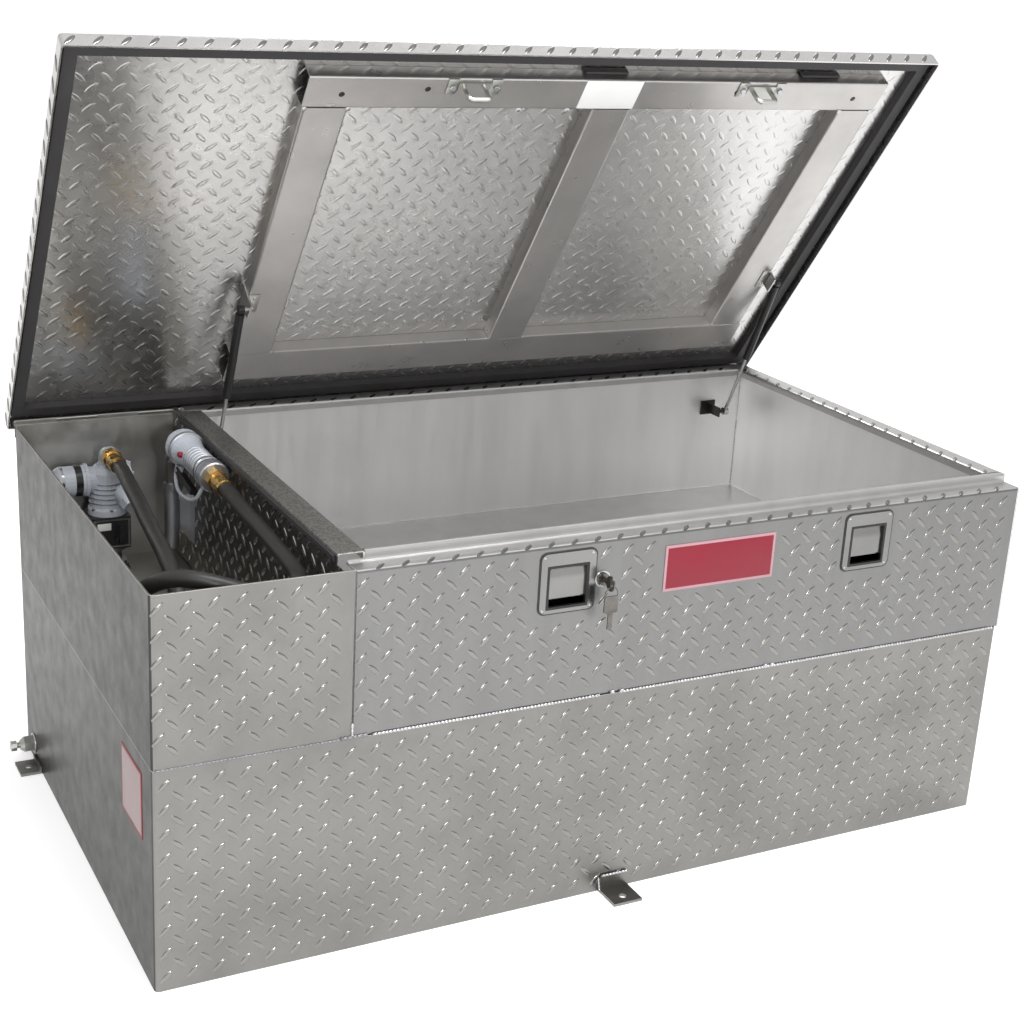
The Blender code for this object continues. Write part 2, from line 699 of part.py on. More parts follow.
def build_walls():
    """The folded bay walls, the partition and the toolbox above the tank."""
    base = TANK_HEIGHT + GAP
    joint = LEFT + PANEL_JOINT
    bay_end = joint - JOINT_GAP / 2
    box_start = joint + JOINT_GAP / 2
    add_sheet(
        "bay_walls",
        [(bay_end, BACK), (LEFT, BACK), (LEFT, FRONT), (bay_end, FRONT)],
        "XY", (base, BAY_HEIGHT), BOX_SHEET, "tread_plate", fold=CORNER_RADIUS,
    )
    web = LEFT + PARTITION_X
    flange = web + PARTITION_FLANGE
    ledge_back = FRONT + LEDGE_WIDTH
    rim_front = BACK - RIM_WIDTH - GAP
    partition = add_sheet(
        "partition",
        [
            (flange, RIM_HEIGHT - RIM_LIP),
            (flange, RIM_HEIGHT),
            (web, RIM_HEIGHT),
            (web, base),
            (bay_end, base),
        ],
        "XZ", (FRONT + BOX_SHEET + GAP, BACK - BOX_SHEET - GAP), BOX_SHEET, "tread_plate",
    )
    front_notch = add_block(
        "partition_front_notch",
        (web - BOX_SHEET, FRONT, LEDGE_HEIGHT - BOX_SHEET - GAP),
        (flange + BOX_SHEET, ledge_back + GAP, RIM_HEIGHT + BOX_SHEET),
    )
    back_notch = add_block(
        "partition_back_notch",
        (web + 2 * BOX_SHEET, rim_front, RIM_HEIGHT - 2 * RIM_LIP),
        (flange + BOX_SHEET, BACK, RIM_HEIGHT + BOX_SHEET),
    )
    cut(partition, front_notch, back_notch)
    end_inside = RIGHT + RIGHT_LAP - BOX_SHEET
    hem_back = ledge_back + HEM_WIDTH
    tub = add_sheet(
        "toolbox_tub",
        [
            (hem_back, RIM_HEIGHT - HEM_LIP),
            (hem_back, RIM_HEIGHT),
            (ledge_back, RIM_HEIGHT),
            (ledge_back, LEDGE_HEIGHT),
            (FRONT, LEDGE_HEIGHT),
            (FRONT, base),
            (BACK, base),
            (BACK, RIM_HEIGHT),
            (BACK - RIM_WIDTH, RIM_HEIGHT),
            (BACK - RIM_WIDTH, RIM_HEIGHT - RIM_LIP),
        ],
        "YZ", (box_start, end_inside - GAP), BOX_SHEET, "tread_plate",
    )
    hem_notch = add_block(
        "tub_hem_notch",
        (box_start - JOINT_GAP, ledge_back - GAP, LEDGE_HEIGHT),
        (flange + GAP, hem_back + BOX_SHEET, RIM_HEIGHT + BOX_SHEET),
    )
    hem_under_notch = add_block(
        "tub_hem_under_notch",
        (box_start - JOINT_GAP, ledge_back + BOX_SHEET + GAP, LEDGE_HEIGHT - RIM_LIP),
        (flange + GAP, hem_back + BOX_SHEET, LEDGE_HEIGHT + BOX_SHEET),
    )
    cut(tub, hem_notch, hem_under_notch)
    for x, z in ((LATCH_LEFT_X, LATCH_HEIGHT), (LATCH_RIGHT_X, LATCH_HEIGHT)):
        hole = latch_hole(f"latch_hole_{round(x * 1000)}", LEFT + x, z - LATCH_POCKET_DROP)
        cut(tub, hole)
    lock_hole = add_rod(
        "lock_hole",
        (LEFT + LOCK_X, FRONT - BOX_SHEET, LOCK_HEIGHT),
        (LEFT + LOCK_X, FRONT + 2 * BOX_SHEET, LOCK_HEIGHT),
        LOCK_RADIUS * LOCK_NECK + GAP,
    )
    cut(tub, lock_hole)
    outer = RIGHT + RIGHT_LAP
    end = add_sheet(
        "toolbox_right_end",
        [
            (outer, base),
            (outer, RIM_HEIGHT),
            (outer - RIM_WIDTH, RIM_HEIGHT),
            (outer - RIM_WIDTH, RIM_HEIGHT - RIM_LIP),
        ],
        "XZ", (FRONT, BACK), BOX_SHEET, "tread_plate",
    )
    top_notch = add_block(
        "end_front_notch",
        (outer - 2 * RIM_WIDTH, FRONT - BOX_SHEET, LEDGE_HEIGHT),
        (outer + BOX_SHEET, ledge_back, RIM_HEIGHT + BOX_SHEET),
    )
    hem_clear = add_block(
        "end_hem_notch",
        (outer - 2 * RIM_WIDTH, FRONT - BOX_SHEET, LEDGE_HEIGHT - RIM_LIP),
        (outer - BOX_SHEET - GAP / 2, hem_back + GAP, RIM_HEIGHT + BOX_SHEET),
    )
    rim_clear = add_block(
        "end_rim_notch",
        (outer - 2 * RIM_WIDTH, rim_front, LEDGE_HEIGHT - RIM_LIP),
        (outer - BOX_SHEET - GAP / 2, BACK + BOX_SHEET, RIM_HEIGHT + BOX_SHEET),
    )
    cut(end, top_notch, hem_clear, rim_clear)


def latch_hole(name, x, z):
    """The cut-out in the front wall that a latch tray passes through."""
    across = LATCH_POCKET_WIDTH / 2 + LATCH_TRAY_WALL + GAP
    up = LATCH_POCKET_HEIGHT / 2 + LATCH_TRAY_WALL + GAP
    return add_block(
        name, (x - across, FRONT - BOX_SHEET, z - up), (x + across, FRONT + 2 * BOX_SHEET, z + up)
    )


def build_hinge(lid):
    """A continuous hinge: two leaves with interleaved knuckles around one pin."""
    pin_y = BACK + GAP + KNUCKLE_RADIUS
    pin_ends = ((LEFT, pin_y, PIN_HEIGHT), (RIGHT, pin_y, PIN_HEIGHT))
    add_rod("hinge_pin", *pin_ends, PIN_RADIUS, "zinc", sides=8)
    pitch = WIDTH / KNUCKLE_COUNT
    bore = add_rod(
        "hinge_bore",
        (LEFT - pitch, pin_y, PIN_HEIGHT),
        (RIGHT + pitch, pin_y, PIN_HEIGHT),
        PIN_RADIUS + PIN_CLEARANCE,
        sides=KNUCKLE_SIDES,
    )
    fixed = add_block(
        "hinge_fixed_leaf",
        (LEFT, BACK + GAP, PIN_HEIGHT - LEAF_HEIGHT),
        (RIGHT, BACK + GAP + LEAF_SHEET, PIN_HEIGHT - KNUCKLE_RADIUS - GAP),
        "zinc",
    )
    moving = add_sheet(
        "hinge_lid_leaf",
        [
            (KNUCKLE_RADIUS + GAP, KNUCKLE_RADIUS),
            (LID_REAR_OVERHANG - LID_SHEET - GAP, KNUCKLE_RADIUS),
            (LID_REAR_OVERHANG - LID_SHEET - GAP, LID_TOP_ABOVE_PIN - LID_SHEET - LID_CORNER),
        ],
        "YZ", (LEFT, RIGHT), LEAF_SHEET, "zinc", parent=lid, fold=LEAF_FOLD,
    )
    for k in range(KNUCKLE_COUNT):
        start = LEFT + k * pitch + GAP / 2
        end = LEFT + (k + 1) * pitch - GAP / 2
        own = moving if k % 2 else fixed
        if k % 2:
            knuckle = add_rod(
                f"lid_knuckle_{k}", (start, 0, 0), (end, 0, 0), KNUCKLE_RADIUS,
                parent=lid, sides=KNUCKLE_SIDES,
            )
            web = add_block(
                f"lid_knuckle_web_{k}",
                (start, 0, KNUCKLE_RADIUS - LEAF_SHEET),
                (end, KNUCKLE_RADIUS + 3 * GAP, KNUCKLE_RADIUS),
                parent=lid,
            )
        else:
            knuckle = add_rod(
                f"fixed_knuckle_{k}",
                (start, pin_y, PIN_HEIGHT),
                (end, pin_y, PIN_HEIGHT),
                KNUCKLE_RADIUS,
                sides=KNUCKLE_SIDES,
            )
            web = add_block(
                f"fixed_knuckle_web_{k}",
                (start, BACK + GAP, PIN_HEIGHT - KNUCKLE_RADIUS - 3 * GAP),
                (end, BACK + GAP + LEAF_SHEET, PIN_HEIGHT),
            )
        join(own, knuckle, web)
    cut(fixed, bore)
    cut(moving, bore)


def build_lid(lid):
    """The lid skin, its seal, its frame of folded rails and its two strikers."""
    pin_to_front = DEPTH + GAP + KNUCKLE_RADIUS - LID_FRONT_SETBACK
    side = WIDTH / 2 + LID_SIDE_OVERHANG
    top = LID_TOP_ABOVE_PIN
    low = top - LID_FLANGE

    def rounded(a, b):
        return max(a.z, b.z) > low + LID_FLANGE / 2

    skin = add_block(
        "lid_skin", (-side, -pin_to_front, low), (side, LID_REAR_OVERHANG, top), "tread_plate",
        parent=lid, bevel=LID_CORNER, edges=rounded, segments=3,
    )
    under = top - LID_SHEET
    inner_side = side - LID_SHEET
    inner_front = -pin_to_front + LID_SHEET
    inner_back = LID_REAR_OVERHANG - LID_SHEET
    inside = add_block(
        "lid_inside", (-inner_side, inner_front, low - LID_FLANGE), (inner_side, inner_back, under),
        parent=lid, bevel=LID_CORNER - LID_SHEET, edges=rounded, segments=3,
    )
    cut(skin, inside)
    seal_top = under - GAP
    seal_back = -KNUCKLE_RADIUS - GAP
    seal = add_block(
        "lid_seal",
        (-inner_side + LID_CORNER, inner_front + LID_CORNER, seal_top - SEAL_THICKNESS),
        (inner_side - LID_CORNER, seal_back, seal_top),
        "rubber", parent=lid,
    )
    reach = LID_CORNER + SEAL_WIDTH
    seal_hole = add_block(
        "lid_seal_hole",
        (-inner_side + reach, inner_front + reach, seal_top - 2 * SEAL_THICKNESS),
        (inner_side - reach, seal_back - SEAL_WIDTH, seal_top + SEAL_THICKNESS),
        parent=lid,
    )
    cut(seal, seal_hole)
    rail_top = under - GAP
    rail_low = rail_top - RAIL_DEPTH
    front = -pin_to_front + FRONT_RAIL_SETBACK
    back = -BACK_RAIL_FROM_PIN
    first = LEFT + RAIL_FRAME_LEFT
    last = RIGHT - RAIL_FRAME_RIGHT_INSET
    lengthways = (
        ("lid_front_rail", front, front + FRONT_RAIL_WIDTH),
        ("lid_back_rail", back - BACK_RAIL_WIDTH, back),
    )
    for name, near, far in lengthways:
        path = [(near, rail_top), (near, rail_low), (far, rail_low), (far, rail_top)]
        ends = (first - RAIL_END_OVERRUN, last + RAIL_END_OVERRUN)
        add_sheet(name, path, "YZ", ends, RAIL_SHEET, "plain_sheet", parent=lid, fold=RAIL_FOLD)
    ends = (front + FRONT_RAIL_WIDTH + GAP, back - BACK_RAIL_WIDTH - GAP)
    centre = (first + last - CROSS_RAIL_WIDTH) / 2
    crossways = (
        ("lid_left_rail", first),
        ("lid_centre_rail", centre),
        ("lid_right_rail", last - CROSS_RAIL_WIDTH),
    )
    for name, near in crossways:
        far = near + CROSS_RAIL_WIDTH
        path = [(near, rail_top), (near, rail_low), (far, rail_low), (far, rail_top)]
        add_sheet(name, path, "XZ", ends, RAIL_SHEET, "plain_sheet", parent=lid, fold=RAIL_FOLD)
    striker_y = -(DEPTH + GAP + KNUCKLE_RADIUS) + STRIKER_FROM_FRONT
    for name, x in (("left_striker", STRIKER_LEFT_X), ("right_striker", STRIKER_RIGHT_X)):
        build_striker(name, Vector((LEFT + x, striker_y, rail_low - GAP)), lid)


def build_striker(name, place, lid):
    """A bent wire loop on a plate, under the lid's front rail."""
    x, y, z = place
    plate = add_block(
        name,
        (x - STRIKER_SPREAD - 2.5 * STRIKER_WIRE, y - 2 * STRIKER_WIRE, z - STRIKER_PLATE),
        (x + STRIKER_SPREAD + 2.5 * STRIKER_WIRE, y + 2 * STRIKER_WIRE, z),
        "zinc", parent=lid,
    )
    bend = STRIKER_WIRE * 1.6
    low = z - STRIKER_DROP
    points = [(x - STRIKER_SPREAD, y, z - STRIKER_PLATE / 2)]
    for corner, start in (((x - STRIKER_SPREAD + bend), 180), ((x + STRIKER_SPREAD - bend), 270)):
        for step in range(4):
            angle = math.radians(start + step * 30)
            points.append((corner + bend * math.cos(angle), y, low + bend + bend * math.sin(angle)))
    points.append((x + STRIKER_SPREAD, y, z - STRIKER_PLATE / 2))
    wire = to_mesh(add_tube(f"{name}_wire", points, STRIKER_WIRE, parent=lid))
    join(plate, wire)


def build_struts(lid):
    """Two gas struts with knob ends, studs and brackets on the lid rails and the toolbox back."""
    pin = Vector((0, BACK + GAP + KNUCKLE_RADIUS, PIN_HEIGHT))
    closed_place = Vector((0, -STRUT_LID_FROM_PIN, -STRUT_LID_BELOW_PIN))
    open_place = Matrix.Rotation(-LID_OPEN, 3, "X") @ closed_place
    box_y = BACK - STRUT_BOX_INSET
    for side, inset, way, rail in (
        ("left", STRUT_INSET, -1, LEFT + RAIL_FRAME_LEFT),
        ("right", WIDTH - STRUT_RIGHT_INSET, 1, RIGHT - RAIL_FRAME_RIGHT_INSET),
    ):
        x = LEFT + inset
        foot = Vector((x, box_y, STRUT_BOX_HEIGHT))
        head = pin + open_place + Vector((x, 0, 0))
        along = (head - foot).normalized()
        length = (head - foot).length
        across = Vector((1, 0, 0))
        half = STRUT_KNOB_WIDTH / 2
        top_start = head - along * STRUT_CYLINDER_LENGTH
        cylinder = add_rod(
            f"{side}_strut_cylinder", top_start, head - along * STRUT_KNOB_RADIUS, STRUT_CYLINDER_RADIUS,
            "black_paint", sides=16,
        )
        knob = add_rod(
            f"{side}_strut_head_knob", head - across * half, head + across * half, STRUT_KNOB_RADIUS, sides=16
        )
        neck = add_rod(
            f"{side}_strut_neck", head - along * STRUT_KNOB_RADIUS * 2, head, STRUT_KNOB_RADIUS * 0.6,
            sides=12,
        )
        join(cylinder, neck, knob)
        well = add_rod(
            f"{side}_strut_well",
            top_start - along * STRUT_WALL,
            head - along * (STRUT_KNOB_RADIUS * 2 + STRUT_WALL),
            STRUT_ROD_RADIUS + GAP,
            sides=12,
        )
        cut(cylinder, well)
        stroke_left = (length - STRUT_CYLINDER_LENGTH) * 0.75
        rod_top = head - along * (STRUT_KNOB_RADIUS * 2 + STRUT_WALL * 2 + stroke_left)
        rod = add_rod(f"{side}_strut_rod", foot, rod_top, STRUT_ROD_RADIUS, "stainless", sides=12)
        low_knob = add_rod(
            f"{side}_strut_foot_knob", foot - across * half, foot + across * half, STRUT_KNOB_RADIUS, sides=16
        )
        join(rod, low_knob)
        box_stud_start = x + way * -1 * (half + BRACKET_WIDTH * 0.4)
        stud_hole = add_rod(
            f"{side}_strut_foot_bore",
            (x - way * (half + STRUT_WALL), box_y, STRUT_BOX_HEIGHT),
            (x + way * half * 0.6, box_y, STRUT_BOX_HEIGHT),
            STUD_RADIUS + GAP,
            sides=12,
        )
        cut(rod, stud_hole)
        wall = BACK - BOX_SHEET - GAP
        bracket = add_block(
            f"{side}_strut_box_bracket",
            (box_stud_start - BRACKET_WIDTH / 2, wall - BRACKET_SHEET, foot.z - BRACKET_HEIGHT / 2),
            (box_stud_start + BRACKET_WIDTH / 2, wall, foot.z + BRACKET_HEIGHT / 2),
            "black_paint",
        )
        ear = add_block(
            f"{side}_strut_box_ear",
            (box_stud_start - BRACKET_SHEET / 2, box_y - STUD_RADIUS * 2, foot.z - BRACKET_HEIGHT / 3),
            (box_stud_start + BRACKET_SHEET / 2, wall - BRACKET_SHEET / 2, foot.z + BRACKET_HEIGHT / 3),
        )
        stud = add_rod(
            f"{side}_strut_box_stud",
            (box_stud_start, box_y, STRUT_BOX_HEIGHT),
            (x + way * (half * 0.6 - GAP), box_y, STRUT_BOX_HEIGHT),
            STUD_RADIUS,
            sides=12,
        )
        join(bracket, ear, stud)
        stud_end = x - way * (half + GAP)
        plate_face = rail - way * RAIL_SHEET / 2
        lid_bracket = add_block(
            f"{side}_strut_lid_plate",
            sorted_corner(plate_face, plate_face + way * BRACKET_SHEET, closed_place, -BRACKET_WIDTH / 2, 0),
            sorted_corner(plate_face, plate_face + way * BRACKET_SHEET, closed_place, BRACKET_WIDTH / 2, 1),
            parent=lid,
        )
        lid_stud = add_rod(
            f"{side}_strut_lid_stud",
            (plate_face + way * BRACKET_SHEET / 2, closed_place.y, closed_place.z),
            (stud_end, closed_place.y, closed_place.z),
            STUD_RADIUS,
            parent=lid,
            sides=12,
        )
        join(bpy.data.objects[f"lid_{side}_rail"], lid_bracket, lid_stud)


def sorted_corner(first_x, second_x, place, spread, which):
    """One corner of a bracket plate that stands beside a rail, from the stud up to the lid skin."""
    x = sorted((first_x, second_x))[which]
    high = LID_TOP_ABOVE_PIN - LID_SHEET - 2 * GAP
    z = high if which else place.z - STUD_RADIUS * 2
    return (x, place.y + spread, z)


def build_latches():
    """Two paddle latches in trays, their closed latch bodies, the lock and its keys."""
    for side, x, jaw in (
        ("left", LATCH_LEFT_X, STRIKER_LEFT_X),
        ("right", LATCH_RIGHT_X, STRIKER_RIGHT_X),
    ):
        build_latch(side, LEFT + x, LEFT + jaw)
    build_lock()


def build_latch(side, x, jaw_x):
    """One tray with its plate, the paddle that swings out of it, and the latch body behind it."""
    face = FRONT - GAP
    z = LATCH_HEIGHT
    pocket_z = z - LATCH_POCKET_DROP
    half_w = LATCH_POCKET_WIDTH / 2
    half_h = LATCH_POCKET_HEIGHT / 2

    def corner(a, b):
        return abs(a.y - b.y) > 1e-6

    plate = add_block(
        f"{side}_latch_tray",
        (x - LATCH_PLATE_WIDTH / 2, face - LATCH_PLATE_SHEET, z - LATCH_PLATE_HEIGHT / 2),
        (x + LATCH_PLATE_WIDTH / 2, face, z + LATCH_PLATE_HEIGHT / 2),
        "stainless", bevel=LATCH_CORNER, edges=corner, segments=3,
    )
    tray = add_block(
        f"{side}_tray_walls",
        (x - half_w - LATCH_TRAY_WALL, face - LATCH_PLATE_SHEET / 2, pocket_z - half_h - LATCH_TRAY_WALL),
        (x + half_w + LATCH_TRAY_WALL, face + LATCH_POCKET_DEPTH, pocket_z + half_h + LATCH_TRAY_WALL),
    )
    pocket = add_block(
        f"{side}_tray_pocket",
        (x - half_w, face - 2 * LATCH_PLATE_SHEET, pocket_z - half_h),
        (x + half_w, face + LATCH_POCKET_DEPTH - LATCH_TRAY_WALL, pocket_z + half_h),
    )
    pin_y = face + PADDLE_PIN_RADIUS + LATCH_PLATE_SHEET
    pin_z = pocket_z + half_h - PADDLE_PIN_RADIUS - 2 * LATCH_TRAY_WALL
    pin_hole = add_rod(
        f"{side}_tray_pin_holes",
        (x - half_w - 2 * LATCH_TRAY_WALL, pin_y, pin_z),
        (x + half_w + 2 * LATCH_TRAY_WALL, pin_y, pin_z),
        PADDLE_PIN_RADIUS + GAP,
        sides=12,
    )
    join(plate, tray)
    cut(plate, pocket, pin_hole)
    pivot = add_empty(f"{side}_paddle_pivot", (x, pin_y, pin_z))
    wide = half_w - PADDLE_CLEARANCE
    low = -LATCH_POCKET_HEIGHT * PADDLE_SHARE
    curl = LATCH_POCKET_DEPTH * 0.3
    paddle = add_sheet(
        f"{side}_paddle",
        [(0, 0), (-PADDLE_PIN_RADIUS, low * 0.3), (-PADDLE_PIN_RADIUS, low + curl * 0.4), (curl, low)],
        "YZ", (-wide, wide), PADDLE_SHEET, "stainless", parent=pivot, fold=PADDLE_FOLD,
    )
    pin = add_rod(
        f"{side}_paddle_pin", (-half_w - LATCH_TRAY_WALL, 0, 0), (half_w + LATCH_TRAY_WALL, 0, 0),
        PADDLE_PIN_RADIUS, parent=pivot, sides=12,
    )
    join(paddle, pin)
    tray_back = face + LATCH_POCKET_DEPTH + GAP
    strike_y = FRONT + STRIKER_FROM_FRONT
    body_top = LEDGE_HEIGHT - BOX_SHEET - 4 * LATCH_TRAY_WALL
    half = LATCH_BODY_WIDTH / 2
    body = add_block(
        f"{side}_latch_body",
        (jaw_x - half, tray_back, body_top - LATCH_BODY_HEIGHT),
        (jaw_x + half, strike_y + 3 * STRIKER_WIRE, body_top),
        "zinc", bevel=LATCH_BODY_EDGE, edges=corner_x,
    )
    mount = add_block(
        f"{side}_latch_mount",
        (min(x, jaw_x) - half, tray_back, body_top - LATCH_BODY_HEIGHT * 0.9),
        (max(x, jaw_x) + half, tray_back + 2 * LATCH_TRAY_WALL, body_top - LATCH_BODY_HEIGHT * 0.3),
    )
    slot = add_block(
        f"{side}_latch_slot",
        (jaw_x - LATCH_BODY_WIDTH, strike_y - LATCH_SLOT / 2, strike_slot_low()),
        (jaw_x + LATCH_BODY_WIDTH, strike_y + LATCH_SLOT / 2, body_top + LATCH_TRAY_WALL),
    )
    join(body, mount)
    cut(body, slot)


def corner_x(a, b):
    return abs(a.x - b.x) > 1e-6


def strike_slot_low():
    """The bottom of the slot that the striker drops into, below the closed striker's wire."""
    rail_low = PIN_HEIGHT + LID_TOP_ABOVE_PIN - LID_SHEET - 2 * GAP - RAIL_DEPTH
    return rail_low - STRIKER_DROP - 2 * STRIKER_WIRE


def build_lock():
    """The lock barrel beside the left latch, the key in it, and a ring with the second key."""
    place = Vector((LEFT + LOCK_X, FRONT - GAP, LOCK_HEIGHT))
    out = Vector((0, -1, 0))
    bore_radius = LOCK_RADIUS * LOCK_BORE
    bore_depth = LATCH_POCKET_DEPTH / 2
    barrel = add_rod("lock_barrel", place, place + out * LOCK_STAND, LOCK_RADIUS, "stainless")
    neck = add_rod(
        "lock_barrel_neck",
        place + out * LOCK_STAND / 2,
        place - out * LATCH_POCKET_DEPTH,
        LOCK_RADIUS * LOCK_NECK,
    )
    bore = add_rod("lock_barrel_bore", place + out * LOCK_STAND * 1.5, place - out * bore_depth, bore_radius)
    join(barrel, neck)
    cut(barrel, bore)
    pivot = add_empty("key_pivot", place)
    plug = add_rod(
        "lock_key", (0, bore_depth - 2 * GAP, 0), (0, -LOCK_STAND - 2 * GAP, 0), bore_radius - GAP,
        "brass", parent=pivot, sides=16,
    )
    bow_y = -LOCK_STAND - KEY_SHOULDER - KEY_BOW_RADIUS
    blade = add_block(
        "key_blade",
        (-KEY_SHEET / 2, bow_y, -KEY_BLADE_HEIGHT / 2),
        (KEY_SHEET / 2, -LOCK_STAND / 2, KEY_BLADE_HEIGHT / 2),
        parent=pivot,
    )
    bow = add_rod(
        "key_bow", (-KEY_SHEET / 2, bow_y, 0), (KEY_SHEET / 2, bow_y, 0), KEY_BOW_RADIUS, parent=pivot
    )
    eye_place = Vector((0, bow_y - KEY_EYE_OUT, -KEY_EYE_DROP))
    sideways = Vector((KEY_SHEET, 0, 0))
    eye = add_rod(
        "key_eye", eye_place - sideways, eye_place + sideways, KEY_EYE_RADIUS, parent=pivot, sides=12
    )
    join(plug, blade, bow)
    cut(plug, eye)
    build_spare_key(eye_place, pivot)


def build_spare_key(eye_place, pivot):
    """A wire ring that hangs in the key's eye, with the second key hanging from it."""
    ring_top = eye_place.z - KEY_EYE_RADIUS + KEY_RING_WIRE + GAP
    points = []
    for k in range(SIDES):
        angle = 2 * math.pi * k / SIDES
        rise = KEY_RING_RADIUS * math.cos(angle) - KEY_RING_RADIUS
        points.append((KEY_RING_RADIUS * math.sin(angle), eye_place.y, ring_top + rise))
    ring = add_tube("spare_key_ring", points, KEY_RING_WIRE, "stainless", parent=pivot)
    ring.data.splines[0].use_cyclic_u = True
    ring = to_mesh(ring)
    near = eye_place.y - KEY_SHEET / 2
    far = eye_place.y + KEY_SHEET / 2
    bow_top = ring_top - 2 * KEY_RING_RADIUS + KEY_RING_WIRE + KEY_EYE_RADIUS
    bow_low = bow_top - 2 * KEY_BOW_RADIUS
    bow = add_block(
        "spare_key_bow", (-KEY_BOW_RADIUS, near, bow_low), (KEY_BOW_RADIUS, far, bow_top + KEY_CORNER),
        parent=pivot, bevel=KEY_CORNER, edges=corner_y, segments=3,
    )
    shank = add_block(
        "spare_key_shank",
        (-KEY_BLADE_HEIGHT / 2, near, bow_low - KEY_SHANK),
        (KEY_BLADE_HEIGHT / 2, far, bow_top - KEY_BOW_RADIUS),
        parent=pivot,
    )
    join(ring, bow, shank)


def corner_y(a, b):
    return abs(a.y - b.y) > 1e-6


def build_outlet():
    """The plugged outlet low on the left end: a bushing with a hexagon, and its screwed plug."""
    bore_radius = OUTLET_RADIUS / 2
    face = OUTLET_HEXAGON + OUTLET_SHOULDER

    def at(out):
        return (LEFT - GAP - out, FRONT + OUTLET_FROM_FRONT, OUTLET_HEIGHT)

    bushing = add_rod(
        "outlet_bushing", at(0), at(OUTLET_HEXAGON), OUTLET_RADIUS * 1.5, "zinc", sides=6
    )
    shoulder = add_rod(
        "outlet_shoulder", at(OUTLET_HEXAGON - 2 * GAP), at(face), OUTLET_RADIUS * 1.3,
        end_radius=OUTLET_RADIUS * 0.8,
    )
    bore = add_rod("outlet_bore", at(-TANK_SHEET), at(face + TANK_SHEET), bore_radius)
    join(bushing, shoulder)
    cut(bushing, bore)
    plug = add_rod(
        "outlet_plug", at(OUTLET_HEXAGON / 2), at(face + OUTLET_PLUG_STAND + GAP), bore_radius - GAP, "zinc"
    )
    head = add_rod(
        "outlet_plug_head",
        at(face + OUTLET_PLUG_STAND),
        at(face + OUTLET_PLUG_STAND + OUTLET_PLUG_HEAD),
        OUTLET_RADIUS * 0.95,
        sides=8,
    )
    join(plug, head)


def build_fittings():
    """The filler neck with its cap, and the vent."""
    x = LEFT + FILLER_X
    y = FRONT + FILLER_FROM_FRONT
    bore = FILLER_RADIUS - FILLER_WALL
    flange = FILLER_RADIUS + FILLER_FLANGE
    add_turned(
        "filler_neck",
        [
            (FILLER_RADIUS, FILLER_HEIGHT),
            (FILLER_RADIUS, FILLER_FLANGE_THICKNESS),
            (flange, FILLER_FLANGE_THICKNESS),
            (flange, 0),
            (bore, 0),
            (bore, FILLER_HEIGHT),
        ],
        (x, y, TANK_TOP), (0, 0, 1), "zinc",
    )
    pivot = add_empty("filler_cap_pivot", (x, y, TANK_TOP + FILLER_HEIGHT + GAP))
    skirt = CAP_HEIGHT - CAP_TOP
    cap_bore = FILLER_RADIUS + 2 * GAP
    add_turned(
        "filler_cap",
        [
            (0, CAP_TOP),
            (CAP_RADIUS - CAP_EDGE, CAP_TOP),
            (CAP_RADIUS, CAP_TOP - CAP_EDGE),
            (CAP_RADIUS, -skirt),
            (cap_bore, -skirt),
            (cap_bore, 0),
            (0, 0),
        ],
        (0, 0, 0), (0, 0, 1), "black_plastic", parent=pivot,
    )
    add_turned(
        "vent_cap",
        [(radius * VENT_RADIUS, height * VENT_HEIGHT) for height, radius in VENT_PROFILE],
        (LEFT + VENT_X, FRONT + VENT_FROM_FRONT, TANK_TOP), (0, 0, 1), "brass", sides=16,
    )


def build_pump():
    """The pump on its bung: suction pipe, column, switch box, body, motor, elbow and swivel."""
    x = LEFT + PUMP_X
    y = FRONT + PUMP_FROM_FRONT
    bung_bore = SUCTION_RADIUS + 2 * GAP
    add_turned(
        "tank_bung",
        [
            (BUNG_RADIUS * 0.9, BUNG_HEIGHT),
            (BUNG_RADIUS, BUNG_EDGE),
            (BUNG_RADIUS, 0),
            (bung_bore, 0),
            (bung_bore, BUNG_HEIGHT),
        ],
        (x, y, TANK_TOP), (0, 0, 1), "zinc",
    )
    pipe = SUCTION_RADIUS
    pipe_bore = SUCTION_RADIUS - SUCTION_WALL
    pipe_top = COLUMN_LOW + SUCTION_SOCKET
    pipe_low = TANK_SHEET + SUCTION_FOOT
    add_turned(
        "suction_pipe",
        [(pipe, pipe_top), (pipe, pipe_low), (pipe_bore, pipe_low), (pipe_bore, pipe_top)],
        (x, y, 0), (0, 0, 1), "zinc", sides=16,
    )
    build_column(x, y)
    half = SWITCH_BOX_HALF
    add_block(
        "switch_box", (x - half, y - half, SWITCH_BOX_LOW), (x + half, y + SWITCH_BOX_BACK, SWITCH_BOX_HIGH),
        "black_plastic", bevel=SWITCH_BOX_EDGE, edges=upright,
    )
    build_pump_body(x, y)
    build_outlet_elbow(x, y)
    build_switch_lever(x, y - half - GAP)


def build_column(x, y):
    """The short flanged column between the bung and the switch box, with a socket for the pipe."""
    top = COLUMN_LOW + COLUMN_HEIGHT
    waist = COLUMN_RADIUS * 0.9
    head = COLUMN_RADIUS * 1.25
    foot = COLUMN_RADIUS * 1.2
    slope = COLUMN_FLANGE / 3
    socket = SUCTION_RADIUS + GAP
    socket_top = COLUMN_LOW + SUCTION_SOCKET + GAP
    bore = SUCTION_RADIUS * 0.7
    add_turned(
        "pump_column",
        [
            (head, top),
            (head, top - COLUMN_FLANGE),
            (waist, top - COLUMN_FLANGE - slope),
            (waist, COLUMN_LOW + COLUMN_FLANGE + slope),
            (foot, COLUMN_LOW + COLUMN_FLANGE),
            (foot, COLUMN_LOW),
            (socket, COLUMN_LOW),
            (socket, socket_top),
            (bore, socket_top),
            (bore, top),
        ],
        (x, y, 0), (0, 0, 1), "cast_alloy",
    )


